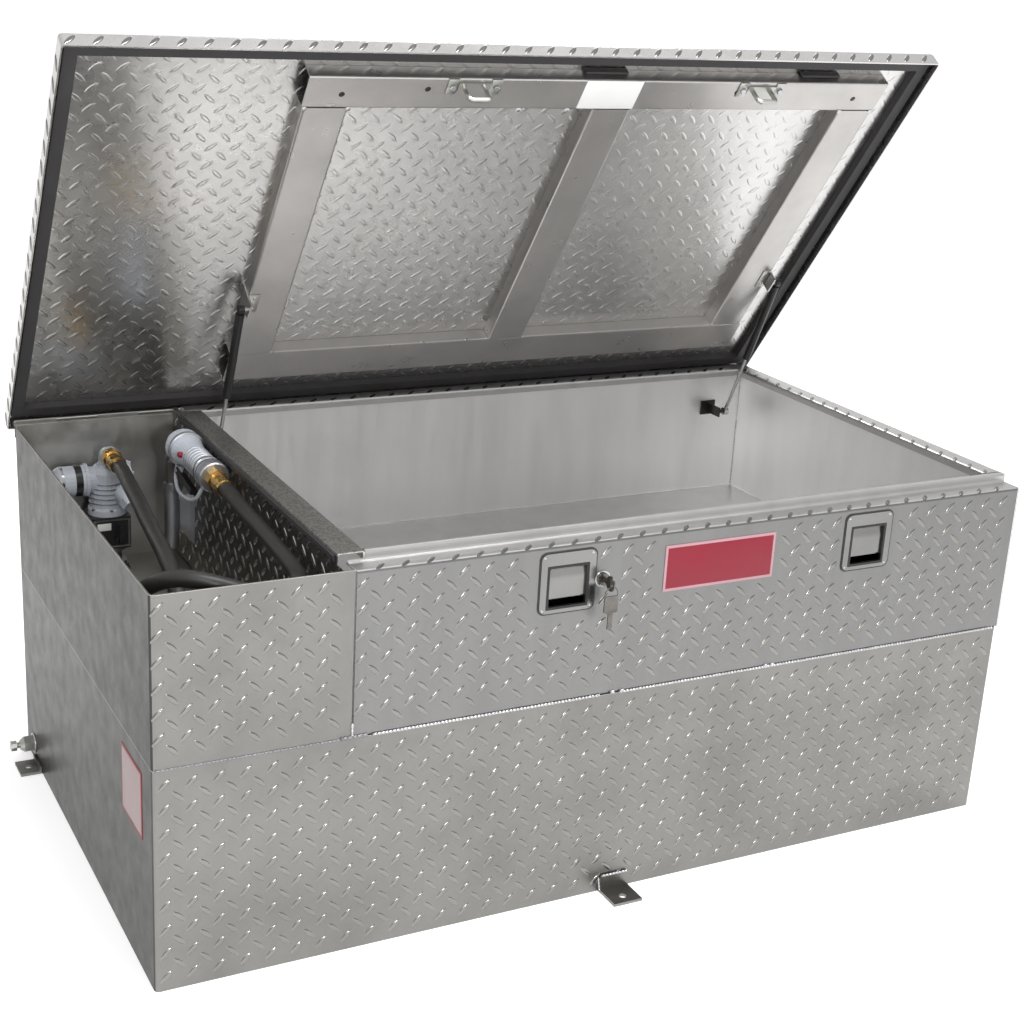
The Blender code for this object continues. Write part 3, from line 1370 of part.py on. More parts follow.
def build_pump_body(x, y):
    """The cast body with its bosses and relief valve, the motor on its left and the cover on its right."""
    radius = PUMP_BODY_RADIUS
    low = PUMP_BODY_LOW
    body = add_turned(
        "pump_body",
        [
            (0, PUMP_BODY_TOP),
            (radius * 0.7, PUMP_BODY_TOP),
            (radius, PUMP_BODY_TOP - PUMP_BODY_EDGE),
            (radius, low + PUMP_BODY_FLANGE * 1.4),
            (radius * 1.12, low + PUMP_BODY_FLANGE),
            (radius * 1.12, low),
            (0, low),
        ],
        (x, y, 0), (0, 0, 1), "cast_alloy",
    )
    axis = Vector((x, y, MOTOR_HEIGHT))
    motor_face = axis - Vector((radius + MOTOR_BOSS_STAND, 0, 0))
    cover_face = axis + Vector((radius + COVER_STAND, 0, 0))
    motor_boss = add_rod("pump_motor_boss", axis, motor_face, MOTOR_RADIUS * 0.85)
    cover_boss = add_rod("pump_cover_boss", axis, cover_face, radius * 0.78)
    top = Vector((x, y, PUMP_BODY_TOP))
    rise = Vector((0, 0, OUTLET_BOSS_RISE))
    outlet_boss = add_rod("pump_outlet_boss", top - rise / 2, top + rise, OUTLET_BOSS_RADIUS)
    join(body, motor_boss, cover_boss, outlet_boss, *build_relief_valve(x, y))
    build_motor(motor_face - Vector((GAP, 0, 0)))
    build_cover(cover_face + Vector((GAP, 0, 0)))


def build_relief_valve(x, y):
    """The relief valve's cast arm, which leans forward and down from the body, and its hexagon."""
    way = Vector((math.cos(RELIEF_SLOPE) * 0.6, -math.cos(RELIEF_SLOPE) * 0.8, -math.sin(RELIEF_SLOPE)))
    start = Vector((x, y, MOTOR_HEIGHT))
    end = start + way * RELIEF_LENGTH
    arm = add_rod("pump_relief_arm", start, end, RELIEF_RADIUS, sides=16)
    cap = add_rod(
        "pump_relief_cap", end - way * RELIEF_CAP / 2, end + way * RELIEF_CAP / 2, RELIEF_RADIUS * 1.2,
        sides=6,
    )
    return arm, cap


def build_motor(place):
    """The motor, a flanged can with a rounded end."""
    radius = MOTOR_RADIUS
    end = MOTOR_LENGTH
    add_turned(
        "pump_motor",
        [
            (0, end),
            (radius * 0.55, end),
            (radius * 0.75, end - MOTOR_FLANGE / 2),
            (radius * 0.96, end - MOTOR_FLANGE * 1.7),
            (radius, end - MOTOR_FLANGE * 2.3),
            (radius, MOTOR_FLANGE),
            (radius * 1.08, MOTOR_FLANGE),
            (radius * 1.08, 0),
            (0, 0),
        ],
        place, (-1, 0, 0), "grey_paint",
    )


def build_cover(place):
    """The pump's end cover, with its hub and a ring of screw heads."""
    radius = PUMP_BODY_RADIUS
    cover = add_turned(
        "pump_cover",
        [
            (0, COVER_HUB),
            (radius * 0.5, COVER_HUB),
            (radius * 0.6, COVER_THICKNESS),
            (radius * 0.95, COVER_THICKNESS),
            (radius * 0.95, 0),
            (0, 0),
        ],
        place, (1, 0, 0), "cast_alloy",
    )
    for k in range(COVER_SCREWS):
        angle = 2 * math.pi * (k + 0.5) / COVER_SCREWS
        spot = place + COVER_SCREW_CIRCLE * Vector((0, math.cos(angle), math.sin(angle)))
        low = spot + Vector((COVER_THICKNESS / 2, 0, 0))
        high = spot + Vector((COVER_HUB + 2 * GAP, 0, 0))
        join(cover, add_rod(f"cover_screw_{k}", low, high, COVER_SCREW_RADIUS, sides=6))


def build_switch_lever(x, face):
    """The lever on the front of the switch box."""
    middle = Vector((x + LEVER_FROM_AXIS, face - LEVER_BOSS_HALF, SWITCH_BOX_LOW + LEVER_HEIGHT))
    pivot = add_empty("switch_pivot", middle)
    half = Vector((0, LEVER_BOSS_HALF, 0))
    boss = add_rod(
        "switch_lever", -half, half, LEVER_BOSS_RADIUS, "black_plastic", parent=pivot, sides=16
    )
    arm = add_block(
        "switch_lever_arm",
        (-LEVER_ARM_WIDTH / 2, -2.5 * LEVER_BOSS_HALF, -LEVER_BOSS_RADIUS / 2),
        (LEVER_ARM_WIDTH / 2, -LEVER_BOSS_HALF / 2, LEVER_ARM),
        parent=pivot,
    )
    join(boss, arm)


def build_outlet_elbow(x, y):
    """The outlet elbow on top of the pump body and the brass swivel that holds the hose."""
    points = [(x, y, ELBOW_LOW)]
    for step in range(7):
        angle = math.radians(step * 15)
        forward = ELBOW_BEND * (1 - math.cos(angle))
        points.append((x, y - forward, ELBOW_LOW + ELBOW_FOOT + ELBOW_BEND * math.sin(angle)))

    def at(out):
        return (x, y - out, SWIVEL_HEIGHT)

    end = ELBOW_BEND + ELBOW_STUB
    points.append(at(end))
    elbow = to_mesh(add_tube("outlet_elbow", points, ELBOW_RADIUS, "cast_alloy", resolution=3))
    lip = end + ELBOW_COLLAR_LIP
    collar = add_rod("elbow_collar", at(lip - ELBOW_COLLAR), at(lip), ELBOW_COLLAR_RADIUS, sides=16)
    bore_end = lip - SWIVEL_SPIGOT - GAP
    bore = add_rod("elbow_bore", at(bore_end), at(lip + ELBOW_COLLAR), SWIVEL_SPIGOT_RADIUS + GAP, sides=16)
    join(elbow, collar)
    cut(elbow, bore)
    face = SWIVEL_FROM_AXIS
    swivel = add_rod("pump_swivel", at(face), at(face + SWIVEL_NUT), SWIVEL_NUT_RADIUS, "brass", sides=8)
    tail = add_rod("pump_swivel_tail", at(face + SWIVEL_NUT / 2), at(face + SWIVEL_LENGTH), SWIVEL_RADIUS)
    spigot = add_rod(
        "pump_swivel_spigot", at(face - SWIVEL_SPIGOT), at(face + SWIVEL_NUT / 4), SWIVEL_SPIGOT_RADIUS,
        sides=16,
    )
    join(swivel, tail, spigot)


def hose_ends():
    """Where the hose leaves the pump's swivel, and where it meets the nozzle's."""
    out = SWIVEL_FROM_AXIS + SWIVEL_LENGTH + GAP
    pump_end = Vector((LEFT + PUMP_X, FRONT + PUMP_FROM_FRONT - out, SWIVEL_HEIGHT))
    return pump_end, nozzle_frame() @ Vector((0, 0, -SWIVEL_LENGTH - GAP))


def nozzle_frame():
    """The nozzle's own frame: +Z runs along its handle, from the hose towards its head."""
    foot = Vector((LEFT + NOZZLE_FOOT_X, FRONT + NOZZLE_FOOT_FROM_FRONT, RIM_HEIGHT - NOZZLE_FOOT_DROP))
    head = Vector((LEFT + NOZZLE_X, FRONT + NOZZLE_HEAD_FROM_FRONT, RIM_HEIGHT - NOZZLE_HEAD_DROP))
    along = (head - foot).normalized()
    side = Vector((1, 0, 0))
    side = (side - along * side.dot(along)).normalized()
    frame = Matrix((side, along.cross(side), along)).transposed().to_4x4()
    frame.translation = foot
    return frame


def nozzle_outline(extra=0.0):
    """The nozzle body's outline from its crown down to its ring, grown by a clearance."""
    outline = []
    for place, radius in NOZZLE_PROFILE:
        grown = radius * NOZZLE_HEAD_RADIUS + extra if radius else 0
        outline.append((grown, place * NOZZLE_LENGTH + extra * place))
    outline.append((0, NOZZLE_PROFILE[-1][0] * NOZZLE_LENGTH))
    return outline


def build_nozzle():
    """The nozzle along the partition, with its spout in a holder."""
    frame = nozzle_frame()
    pivot = add_empty("nozzle_frame", (0, 0, 0))
    pivot.matrix_local = frame
    axis = (0, 0, 1)
    body = add_turned(
        "nozzle_body", nozzle_outline(), (0, 0, 0), axis, "cast_alloy", parent=pivot, sides=SIDES
    )
    ring_top = NOZZLE_PROFILE[-1][0] * NOZZLE_LENGTH - GAP
    add_turned(
        "nozzle_ring",
        [
            (0, ring_top),
            (NOZZLE_RING_RADIUS, ring_top),
            (NOZZLE_RING_RADIUS, NOZZLE_RING_EDGE),
            (NOZZLE_RING_RADIUS - NOZZLE_RING_EDGE, 0),
            (0, 0),
        ],
        (0, 0, 0), axis, "white_enamel", parent=pivot, sides=SIDES,
    )
    swivel = add_rod(
        "nozzle_swivel", (0, 0, -GAP), (0, 0, -SWIVEL_NUT), SWIVEL_NUT_RADIUS, "brass", pivot, sides=8
    )
    tail = add_rod(
        "nozzle_swivel_tail", (0, 0, -SWIVEL_NUT / 2), (0, 0, -SWIVEL_LENGTH), SWIVEL_RADIUS, parent=pivot
    )
    join(swivel, tail)
    build_spout(frame, pivot)
    build_trigger(body, pivot)


def build_spout(frame, pivot):
    """The spout, bent down out of the nozzle's head into its holder."""
    start = frame @ Vector((0, 0, SPOUT_START))
    cup_y = FRONT + HOLDER_FROM_FRONT
    bend = 4 * SPOUT_RADIUS
    route = [
        start + Vector((0, SPOUT_RADIUS, -SPOUT_RADIUS / 2)),
        start + Vector((0, 3 * SPOUT_RADIUS, -1.6 * SPOUT_RADIUS)),
        Vector((start.x, cup_y - SPOUT_RADIUS / 3, start.z - bend)),
        Vector((start.x, cup_y, start.z - 1.5 * bend)),
        Vector((start.x, cup_y, HOLDER_HIGH - SPOUT_IN_HOLDER * (HOLDER_HIGH - HOLDER_LOW))),
    ]
    spout = to_mesh(add_tube("nozzle_spout", smooth_route(route, SPOUT_RADIUS), SPOUT_RADIUS, "plain_sheet"))
    seat = add_turned(
        "nozzle_body_copy", nozzle_outline(GAP), (0, 0, 0), (0, 0, 1), parent=pivot, sides=SIDES
    )
    cut(spout, seat)


def build_trigger(body, nozzle):
    """The guard and trigger pin on the nozzle's body, and the trigger that swings on the pin."""
    side = add_empty("guard_side", (0, 0, 0), parent=nozzle)
    side.rotation_euler.z = GUARD_TURN
    route = [Vector((x, 0, z)) for x, z in GUARD_ROUTE]
    guard = to_mesh(add_tube("nozzle_guard", smooth_route(route, 4 * GUARD_WIRE), GUARD_WIRE, parent=side))
    x, z = TRIGGER_PIVOT
    ear_half = TRIGGER_EAR_HALF
    slot_half = ear_half + GAP
    ear = add_block(
        "trigger_ear",
        (NOZZLE_HEAD_RADIUS / 2, -ear_half, z - 2 * ear_half),
        (x + TRIGGER_HALF, ear_half, z + 2 * ear_half),
        parent=side,
    )
    pin = add_rod(
        "trigger_pin", (x, -TRIGGER_PIN_HALF, z), (x, TRIGGER_PIN_HALF, z), TRIGGER_PIN, parent=side, sides=12
    )
    join(body, guard, ear, pin)
    pivot = add_empty("trigger_pivot", (x, 0, z), parent=side)
    pivot.rotation_euler.y = -TRIGGER_REST
    trigger = add_block(
        "nozzle_trigger",
        (-TRIGGER_HALF, -TRIGGER_HALF_WIDTH, -TRIGGER_LENGTH),
        (TRIGGER_HALF, TRIGGER_HALF_WIDTH, TRIGGER_HEEL),
        "black_paint", parent=pivot, bevel=TRIGGER_HALF * 0.4, edges=upright,
    )
    slot = add_block(
        "trigger_slot",
        (-2.4 * TRIGGER_HALF, -slot_half, -TRIGGER_SLOT),
        (2.4 * TRIGGER_HALF, slot_half, 2 * TRIGGER_HEEL),
        parent=pivot,
    )
    across = Vector((0, 2 * TRIGGER_PIN_HALF, 0))
    bore = add_rod("trigger_bore", -across, across, TRIGGER_PIN + GAP, parent=pivot, sides=12)
    cut(trigger, slot, bore)


def build_holder():
    """A cup on a bracket, fixed to the partition, that the nozzle's spout stands in."""
    x = (nozzle_frame() @ Vector((0, 0, SPOUT_START))).x
    y = FRONT + HOLDER_FROM_FRONT
    wall = HOLDER_WALL
    bore = SPOUT_RADIUS + 2 * GAP
    outer = bore + wall
    low = HOLDER_LOW
    high = HOLDER_HIGH
    height = high - low
    cup = add_turned(
        "nozzle_holder",
        [(outer, high), (outer, low), (0, low), (0, low + wall), (bore, low + wall), (bore, high)],
        (x, y, 0), (0, 0, 1), "grey_paint",
    )
    face = LEFT + PARTITION_X - GAP
    plate = add_block(
        "holder_plate",
        (face - wall, y - HOLDER_PLATE_HALF, low + height / 12),
        (face, y + HOLDER_PLATE_HALF, high - height / 12),
    )
    arm = add_block(
        "holder_arm",
        (x + bore + wall / 2, y - HOLDER_ARM_HALF, low + height / 4),
        (face - wall / 2, y + HOLDER_ARM_HALF, high - height / 4),
    )
    join(cup, plate, arm)


def hose_point(from_left, from_front, share):
    """A point on one of the hose's runs, from its offsets and its share of the bay's height."""
    low = TANK_TOP + COIL_HEIGHT + HOSE_RADIUS + GAP
    return Vector((LEFT + from_left, FRONT + from_front, low + (RIM_HEIGHT - low) * share))


def build_hose():
    """The delivery hose: the run from the pump, the coil on the tank's top and the run to the nozzle."""
    pump_end, nozzle_end = hose_ends()
    middle = Vector((LEFT + COIL_X, FRONT + COIL_FROM_FRONT, TANK_TOP))
    outer = COIL_RADIUS + HOSE_RADIUS
    inner = COIL_RADIUS - 3 * HOSE_RADIUS
    add_turned(
        "hose_coil",
        [(outer, COIL_HEIGHT), (outer, 0), (inner, 0), (inner, COIL_HEIGHT)],
        middle, (0, 0, 1), "rubber", sides=32,
    )
    pump_route = [hose_point(*point) for point in HOSE_FROM_PUMP]
    nozzle_route = [hose_point(*point) for point in HOSE_TO_NOZZLE]
    spacing = 4 * HOSE_RADIUS
    straight = 3 * HOSE_RADIUS
    pump_lead = pump_end - Vector((0, straight, 0))
    nozzle_lead = nozzle_frame() @ Vector((0, 0, -SWIVEL_LENGTH - GAP - straight))
    down = smooth_route([pump_lead] + pump_route, spacing)
    up = smooth_route(nozzle_route + [nozzle_lead], spacing)
    add_tube("hose_pump_run", [pump_end] + down, HOSE_RADIUS, "rubber")
    add_tube("hose_nozzle_run", up + [nozzle_end], HOSE_RADIUS, "rubber")


def main():
    lid = add_empty("lid_pivot", (0, BACK + GAP + KNUCKLE_RADIUS, PIN_HEIGHT), turn_x=-LID_OPEN)
    build_tank()
    build_walls()
    build_lid(lid)
    build_hinge(lid)
    build_struts(lid)
    build_latches()
    build_outlet()
    build_fittings()
    build_pump()
    build_nozzle()
    build_holder()
    build_hose()


main()
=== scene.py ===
"""Looks of the truck bed transfer tank: tread plate, welds, seals, latches, pump, hose and nozzle."""
import math
import random

import bmesh
import bpy
from mathutils import Matrix, Vector


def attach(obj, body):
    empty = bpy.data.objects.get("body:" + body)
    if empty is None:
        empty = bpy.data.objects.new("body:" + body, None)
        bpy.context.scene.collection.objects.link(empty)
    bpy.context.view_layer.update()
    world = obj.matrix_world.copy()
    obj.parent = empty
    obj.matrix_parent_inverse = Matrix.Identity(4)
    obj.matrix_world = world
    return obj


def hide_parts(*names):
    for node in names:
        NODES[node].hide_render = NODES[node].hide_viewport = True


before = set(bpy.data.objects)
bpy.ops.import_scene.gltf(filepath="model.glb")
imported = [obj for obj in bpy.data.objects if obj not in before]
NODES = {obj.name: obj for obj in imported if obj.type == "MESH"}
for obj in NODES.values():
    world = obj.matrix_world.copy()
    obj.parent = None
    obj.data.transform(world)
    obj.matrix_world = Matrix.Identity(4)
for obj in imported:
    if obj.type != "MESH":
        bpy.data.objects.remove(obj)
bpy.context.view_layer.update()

RANDOM = random.Random(7)
ORIGIN = (0, 0, 0)
UP = (0, 0, 1)
FRONTWARD = (0, -1, 0)

# Box, as in the CAD
LEFT, RIGHT = -0.762, 0.762
FRONT, BACK = -0.422, 0.422
TANK_TOP = 0.355
SEAM = 0.3553
BAY_TOP = 0.616
LEDGE_TOP = 0.614
RIM_TOP = 0.629
BACK_TREAD_TOP = 0.594
BAY_END = -0.468
JOINT = -0.4665
BOX_START = -0.465
BOX_RIGHT = 0.765
PARTITION = -0.481
FLANGE_END = -0.438
LEDGE_BACK = -0.384
RIGHT_RIM = 0.727
BACK_RIM = 0.384
RIM_WIDTH = 0.038

# Lid, measured from the hinge's axis when shut
HINGE = Vector((0, 0.4253, 0.622))
LID_OPEN = math.radians(54.05)
LID_FRAME = Matrix.Translation(HINGE) @ Matrix.Rotation(-LID_OPEN, 4, "X")
LID_TOP = 0.0234
LID_SIDE = 0.774
LID_FRONT = -0.8337
LID_REAR = 0.0143
LID_LOW = -0.0056
LID_UNDER = 0.0209
RAIL_LOW = -0.0044
STRIKERS = (("left", LEFT + 0.637), ("right", LEFT + 1.182))
STRUT_PLATES = (("left", -0.397), ("right", 0.664))
RAIL_HOLES = ((0.560, -0.762), (0.681, -0.762), (1.137, -0.762), (0.420, -0.750), (1.390, -0.750))

# Latches, lock and badge on the front, placard on the left end, outlet
LATCHES = (("left", LEFT + 0.6385), ("right", LEFT + 1.2045))
LATCH_HEIGHT = 0.555
LATCH_REACH = 0.050
LOCK = Vector((LEFT + 0.700, FRONT, 0.552))
BADGE = (LEFT + 0.9135, 0.5535)
BADGE_HALF = (0.1035, 0.038)
BADGE_RIM = 0.0045
PLACARD_FACE = LEFT - 0.0006
OUTLET = (FRONT + 0.785, 0.032)

# Camera and stage
CAMERA_PLACE = (-1.32957, -2.48354, 1.47153)
CAMERA_TURN = (71.107, -3.099, -27.134)
CAMERA_LENS = 59.717
CAMERA_SENSOR = 36.0
CAMERA_SHIFT_Y = 0.0025
FLOOR_HALF = 150.0
SKY = ((0.0, 1.0), (0.12, 1.0), (0.30, 0.55), (0.75, 0.80))
LAMPS = (
    ("key_lamp", (-2.2, -3.6, 3.4), (0, 0, 0.5), 2.2, 1.4, 40),
    ("top_lamp", (0.2, -0.9, 3.4), (0.1, 0.2, 0.4), 2.4, 1.0, 62),
    ("back_lamp", (1.6, 3.0, 3.2), (0, 0, 0.5), 1.8, 1.2, 40),
    ("glint_lamp", (-1.2, -5.2, 1.9), (0.1, -0.4, 0.4), 0.34, 0.34, 60),
)

# Pump, switch box and nozzle
PUMP = Vector((LEFT + 0.140, FRONT + 0.772, 0.529))
PUMP_END = Vector((LEFT + 0.140, FRONT + 0.7044, 0.577))
PUMP_FOOT = 0.4763
MOTOR_SHELL = 0.0262
MOTOR_LEAD = (
    (-0.070, -0.020, -0.018), (-0.070, -0.034, -0.032), (-0.058, -0.038, -0.060),
    (-0.044, -0.030, -0.082), (-0.032, -0.020, -0.092),
)
SWITCH_FRONT = 0.316
SWITCH_LOW, SWITCH_HIGH = 0.408, 0.466
NOZZLE_FOOT = Vector((LEFT + 0.2515, FRONT + 0.505, 0.600))
NOZZLE_HEAD = Vector((LEFT + 0.247, FRONT + 0.680, 0.609))
GUARD_TURN = math.radians(106)
BUTTON_TURN = math.radians(196)

# Tread plate
LOZENGE_PITCH = (0.0396, 0.0385)
LOZENGE_START = (0.0198, 0.0190)
LOZENGE_LENGTH = 0.027
LOZENGE_WIDTH = 0.0082
LOZENGE_RISE = 0.0013
LOZENGE_SIDES = 12
COLUMNS = range(-40, 80)
ROWS = range(-40, 60)
IMPRINT = 0.00007

# Hose
HOSE_RADIUS = 0.0124
HOSE_STEP = 0.012
HOSE_LEAD = 0.0375
HOSE_END = 0.0343
COIL_CENTRE = (LEFT + 0.142, FRONT + 0.146)
COIL_OUTER = 0.1225
COIL_INNER = 0.0972
COIL_TOP = 0.4201
COIL_LOW = 0.3684
FERRULE = [
    (0.0126, 0.0), (0.0150, 0.0), (0.0152, -0.003), (0.0143, -0.006), (0.0152, -0.009), (0.0143, -0.012),
    (0.0150, -0.015), (0.0138, -0.018), (0.0126, -0.018),
]

# Meshes
SHARP_EDGE = 35
SAME_PLACE = 0.000001
ROUTE_STEPS = 40
CORNER_STEPS = 4


def new_material(name):
    material = bpy.data.materials.new(name)
    material.use_nodes = True
    return material, material.node_tree.nodes, material.node_tree.links


def noise(nodes, links, scale, detail=4.0, stretch=(1, 1, 1), seed=(0, 0, 0)):
    """A noise texture on the object's own metres, stretched along some axes."""
    place = nodes.new("ShaderNodeTexCoord")
    mapping = nodes.new("ShaderNodeMapping")
    mapping.inputs["Scale"].default_value = stretch
    mapping.inputs["Location"].default_value = seed
    texture = nodes.new("ShaderNodeTexNoise")
    texture.inputs["Scale"].default_value = scale
    texture.inputs["Detail"].default_value = detail
    texture.inputs["Roughness"].default_value = 0.55
    links.new(place.outputs["Object"], mapping.inputs["Vector"])
    links.new(mapping.outputs["Vector"], texture.inputs["Vector"])
    return texture


def ramp(nodes, links, source, stops):
    """A colour ramp over a texture's value; stops are (place, grey or colour)."""
    node = nodes.new("ShaderNodeValToRGB")
    elements = node.color_ramp.elements
    while len(elements) < len(stops):
        elements.new(0.5)
    for element, (place, colour) in zip(elements, stops):
        element.position = place
        if not isinstance(colour, tuple):
            colour = (colour, colour, colour)
        element.color = (*colour, 1.0)
    links.new(source, node.inputs["Fac"])
    return node


def bump(nodes, links, source, distance, under=None):
    """A bump from a texture's value, on top of the bump under it."""
    node = nodes.new("ShaderNodeBump")
    node.inputs["Distance"].default_value = distance
    links.new(source, node.inputs["Height"])
    if under:
        links.new(under.outputs["Normal"], node.inputs["Normal"])
    return node


def scaled(colour, share):
    return tuple(min(1.0, c * share) for c in colour)


def with_painted_light(nodes, links, colour, painted_light_regions):
    """A colour scaled by where on the object it lies: painted shade makes a face duller and painted light makes
    an inside or a top brighter.
    """
    place = nodes.new("ShaderNodeTexCoord")
    split = nodes.new("ShaderNodeSeparateXYZ")
    links.new(place.outputs["Object"], split.inputs["Vector"])
    share = None
    for axis, way, value, amount in painted_light_regions:
        test = nodes.new("ShaderNodeMath")
        test.operation = way
        test.inputs[1].default_value = value
        links.new(split.outputs[axis], test.inputs[0])
        mix = nodes.new("ShaderNodeMix")
        mix.inputs["A"].default_value = 1.0
        mix.inputs["B"].default_value = amount
        links.new(test.outputs["Value"], mix.inputs["Factor"])
        if share:
            links.new(share, mix.inputs["A"])
        share = mix.outputs["Result"]
    scale = nodes.new("ShaderNodeVectorMath")
    scale.operation = "SCALE"
    links.new(colour, scale.inputs[0])
    links.new(share, scale.inputs["Scale"])
    return scale.outputs["Vector"]


def worn_metal(name, colour, rough, spread=0.12, grain=(1, 1, 1), grain_scale=900, grain_rise=0.00003,
               cloud=7.0, cloud_depth=0.14, streak=(1, 1, 1), painted_light_regions=(), edge=1.0):
    """Bare metal with cloudy wear, a fine grain along one axis and uneven roughness.

    streak stretches the wear, and edge is how bright the metal gets where it is seen along its face.
    The painted light and shade make parts of a node brighter or duller, in order: (axis, way, place, share of the
    colour).
    """
    material, nodes, links = new_material(name)
    shader = nodes["Principled BSDF"]
    shader.inputs["Metallic"].default_value = 1.0
    shader.inputs["Specular Tint"].default_value = (edge, edge, edge, 1.0)
    wear = noise(nodes, links, cloud, 6.0, stretch=streak)
    darker, lighter = scaled(colour, 1 - cloud_depth), scaled(colour, 1 + cloud_depth / 2)
    tint = ramp(nodes, links, wear.outputs["Fac"], ((0.30, darker), (0.55, colour), (0.75, lighter)))
    if painted_light_regions:
        links.new(with_painted_light(nodes, links, tint.outputs["Color"], painted_light_regions), shader.inputs["Base Color"])
    else:
        links.new(tint.outputs["Color"], shader.inputs["Base Color"])
    smears = noise(nodes, links, cloud * 3.7, 5.0, stretch=streak, seed=(3, 1, 2))
    smooth, coarse = rough - spread / 2, rough + spread / 2
    dull = ramp(nodes, links, smears.outputs["Fac"], ((0.3, smooth), (0.7, coarse)))
    links.new(dull.outputs["Color"], shader.inputs["Roughness"])
    lines = noise(nodes, links, grain_scale, 3.0, stretch=grain)
    fine = bump(nodes, links, lines.outputs["Fac"], grain_rise)
    links.new(fine.outputs["Normal"], shader.inputs["Normal"])
    return material


def plain_material(name, colour, rough, speckle=0.06, texture_scale=700, rise=0.00002):
    """Paint, plastic, rubber or enamel with a fine uneven surface and slight colour variation."""
    material, nodes, links = new_material(name)
    shader = nodes["Principled BSDF"]
    cloud = noise(nodes, links, 23.0, 5.0)
    darker, lighter = scaled(colour, 1 - speckle * 2), scaled(colour, 1 + speckle * 2)
    tint = ramp(nodes, links, cloud.outputs["Fac"], ((0.3, darker), (0.7, lighter)))
    links.new(tint.outputs["Color"], shader.inputs["Base Color"])
    dull = ramp(nodes, links, cloud.outputs["Fac"], ((0.3, rough - 0.05), (0.7, rough + 0.07)))
    links.new(dull.outputs["Color"], shader.inputs["Roughness"])
    grit = noise(nodes, links, texture_scale, 3.0)
    fine = bump(nodes, links, grit.outputs["Fac"], rise)
    links.new(fine.outputs["Normal"], shader.inputs["Normal"])
    return material


def dimpled_metal(name, colour, rough):
    """The inner side of tread plate: mill finish with a faint imprint of the lozenges."""
    material = worn_metal(name, colour, rough, spread=0.05, cloud=4.0, cloud_depth=0.1)
    nodes = material.node_tree.nodes
    links = material.node_tree.links
    shader = nodes["Principled BSDF"]
    place = nodes.new("ShaderNodeTexCoord")
    mapping = nodes.new("ShaderNodeMapping")
    mapping.inputs["Rotation"].default_value = (-LID_OPEN, 0, 0)
    links.new(place.outputs["Object"], mapping.inputs["Vector"])
    split = nodes.new("ShaderNodeSeparateXYZ")
    links.new(mapping.outputs["Vector"], split.inputs["Vector"])
    waves = []
    for axis, pitch in zip("XY", LOZENGE_PITCH):
        turn = nodes.new("ShaderNodeMath")
        turn.operation = "MULTIPLY"
        turn.inputs[1].default_value = 2 * math.pi / pitch
        links.new(split.outputs[axis], turn.inputs[0])
        sine = nodes.new("ShaderNodeMath")
        sine.operation = "SINE"
        links.new(turn.outputs["Value"], sine.inputs[0])
        waves.append(sine)
    product = nodes.new("ShaderNodeMath")
    product.operation = "MULTIPLY"
    links.new(waves[0].outputs["Value"], product.inputs[0])
    links.new(waves[1].outputs["Value"], product.inputs[1])
    grain = next(n for n in nodes if n.bl_idname == "ShaderNodeBump")
    dent = bump(nodes, links, product.outputs["Value"], IMPRINT, under=grain)
    links.new(dent.outputs["Normal"], shader.inputs["Normal"])
    return material


# Margins for the painted light and shade below, which tell a wall's outside from its inside and from its cut edge
OUTSIDE = 0.0012
NEAR_INSIDE = 0.0022
CUT_EDGE = 0.0006
FLOOR_EDGE = 0.004

SHEET = (0.236, 0.232, 0.220)
BOX_SHEET = (0.230, 0.228, 0.226)
UPRIGHT_GRAIN = (1, 1, 12)
SHORT_GRAIN = (1, 1, 4)
BOX_WEAR = {"spread": 0.05, "cloud_depth": 0.07, "streak": (3, 3, 0.4)}
WELD_GRAIN = {"grain_scale": 500, "grain_rise": 0.0002}

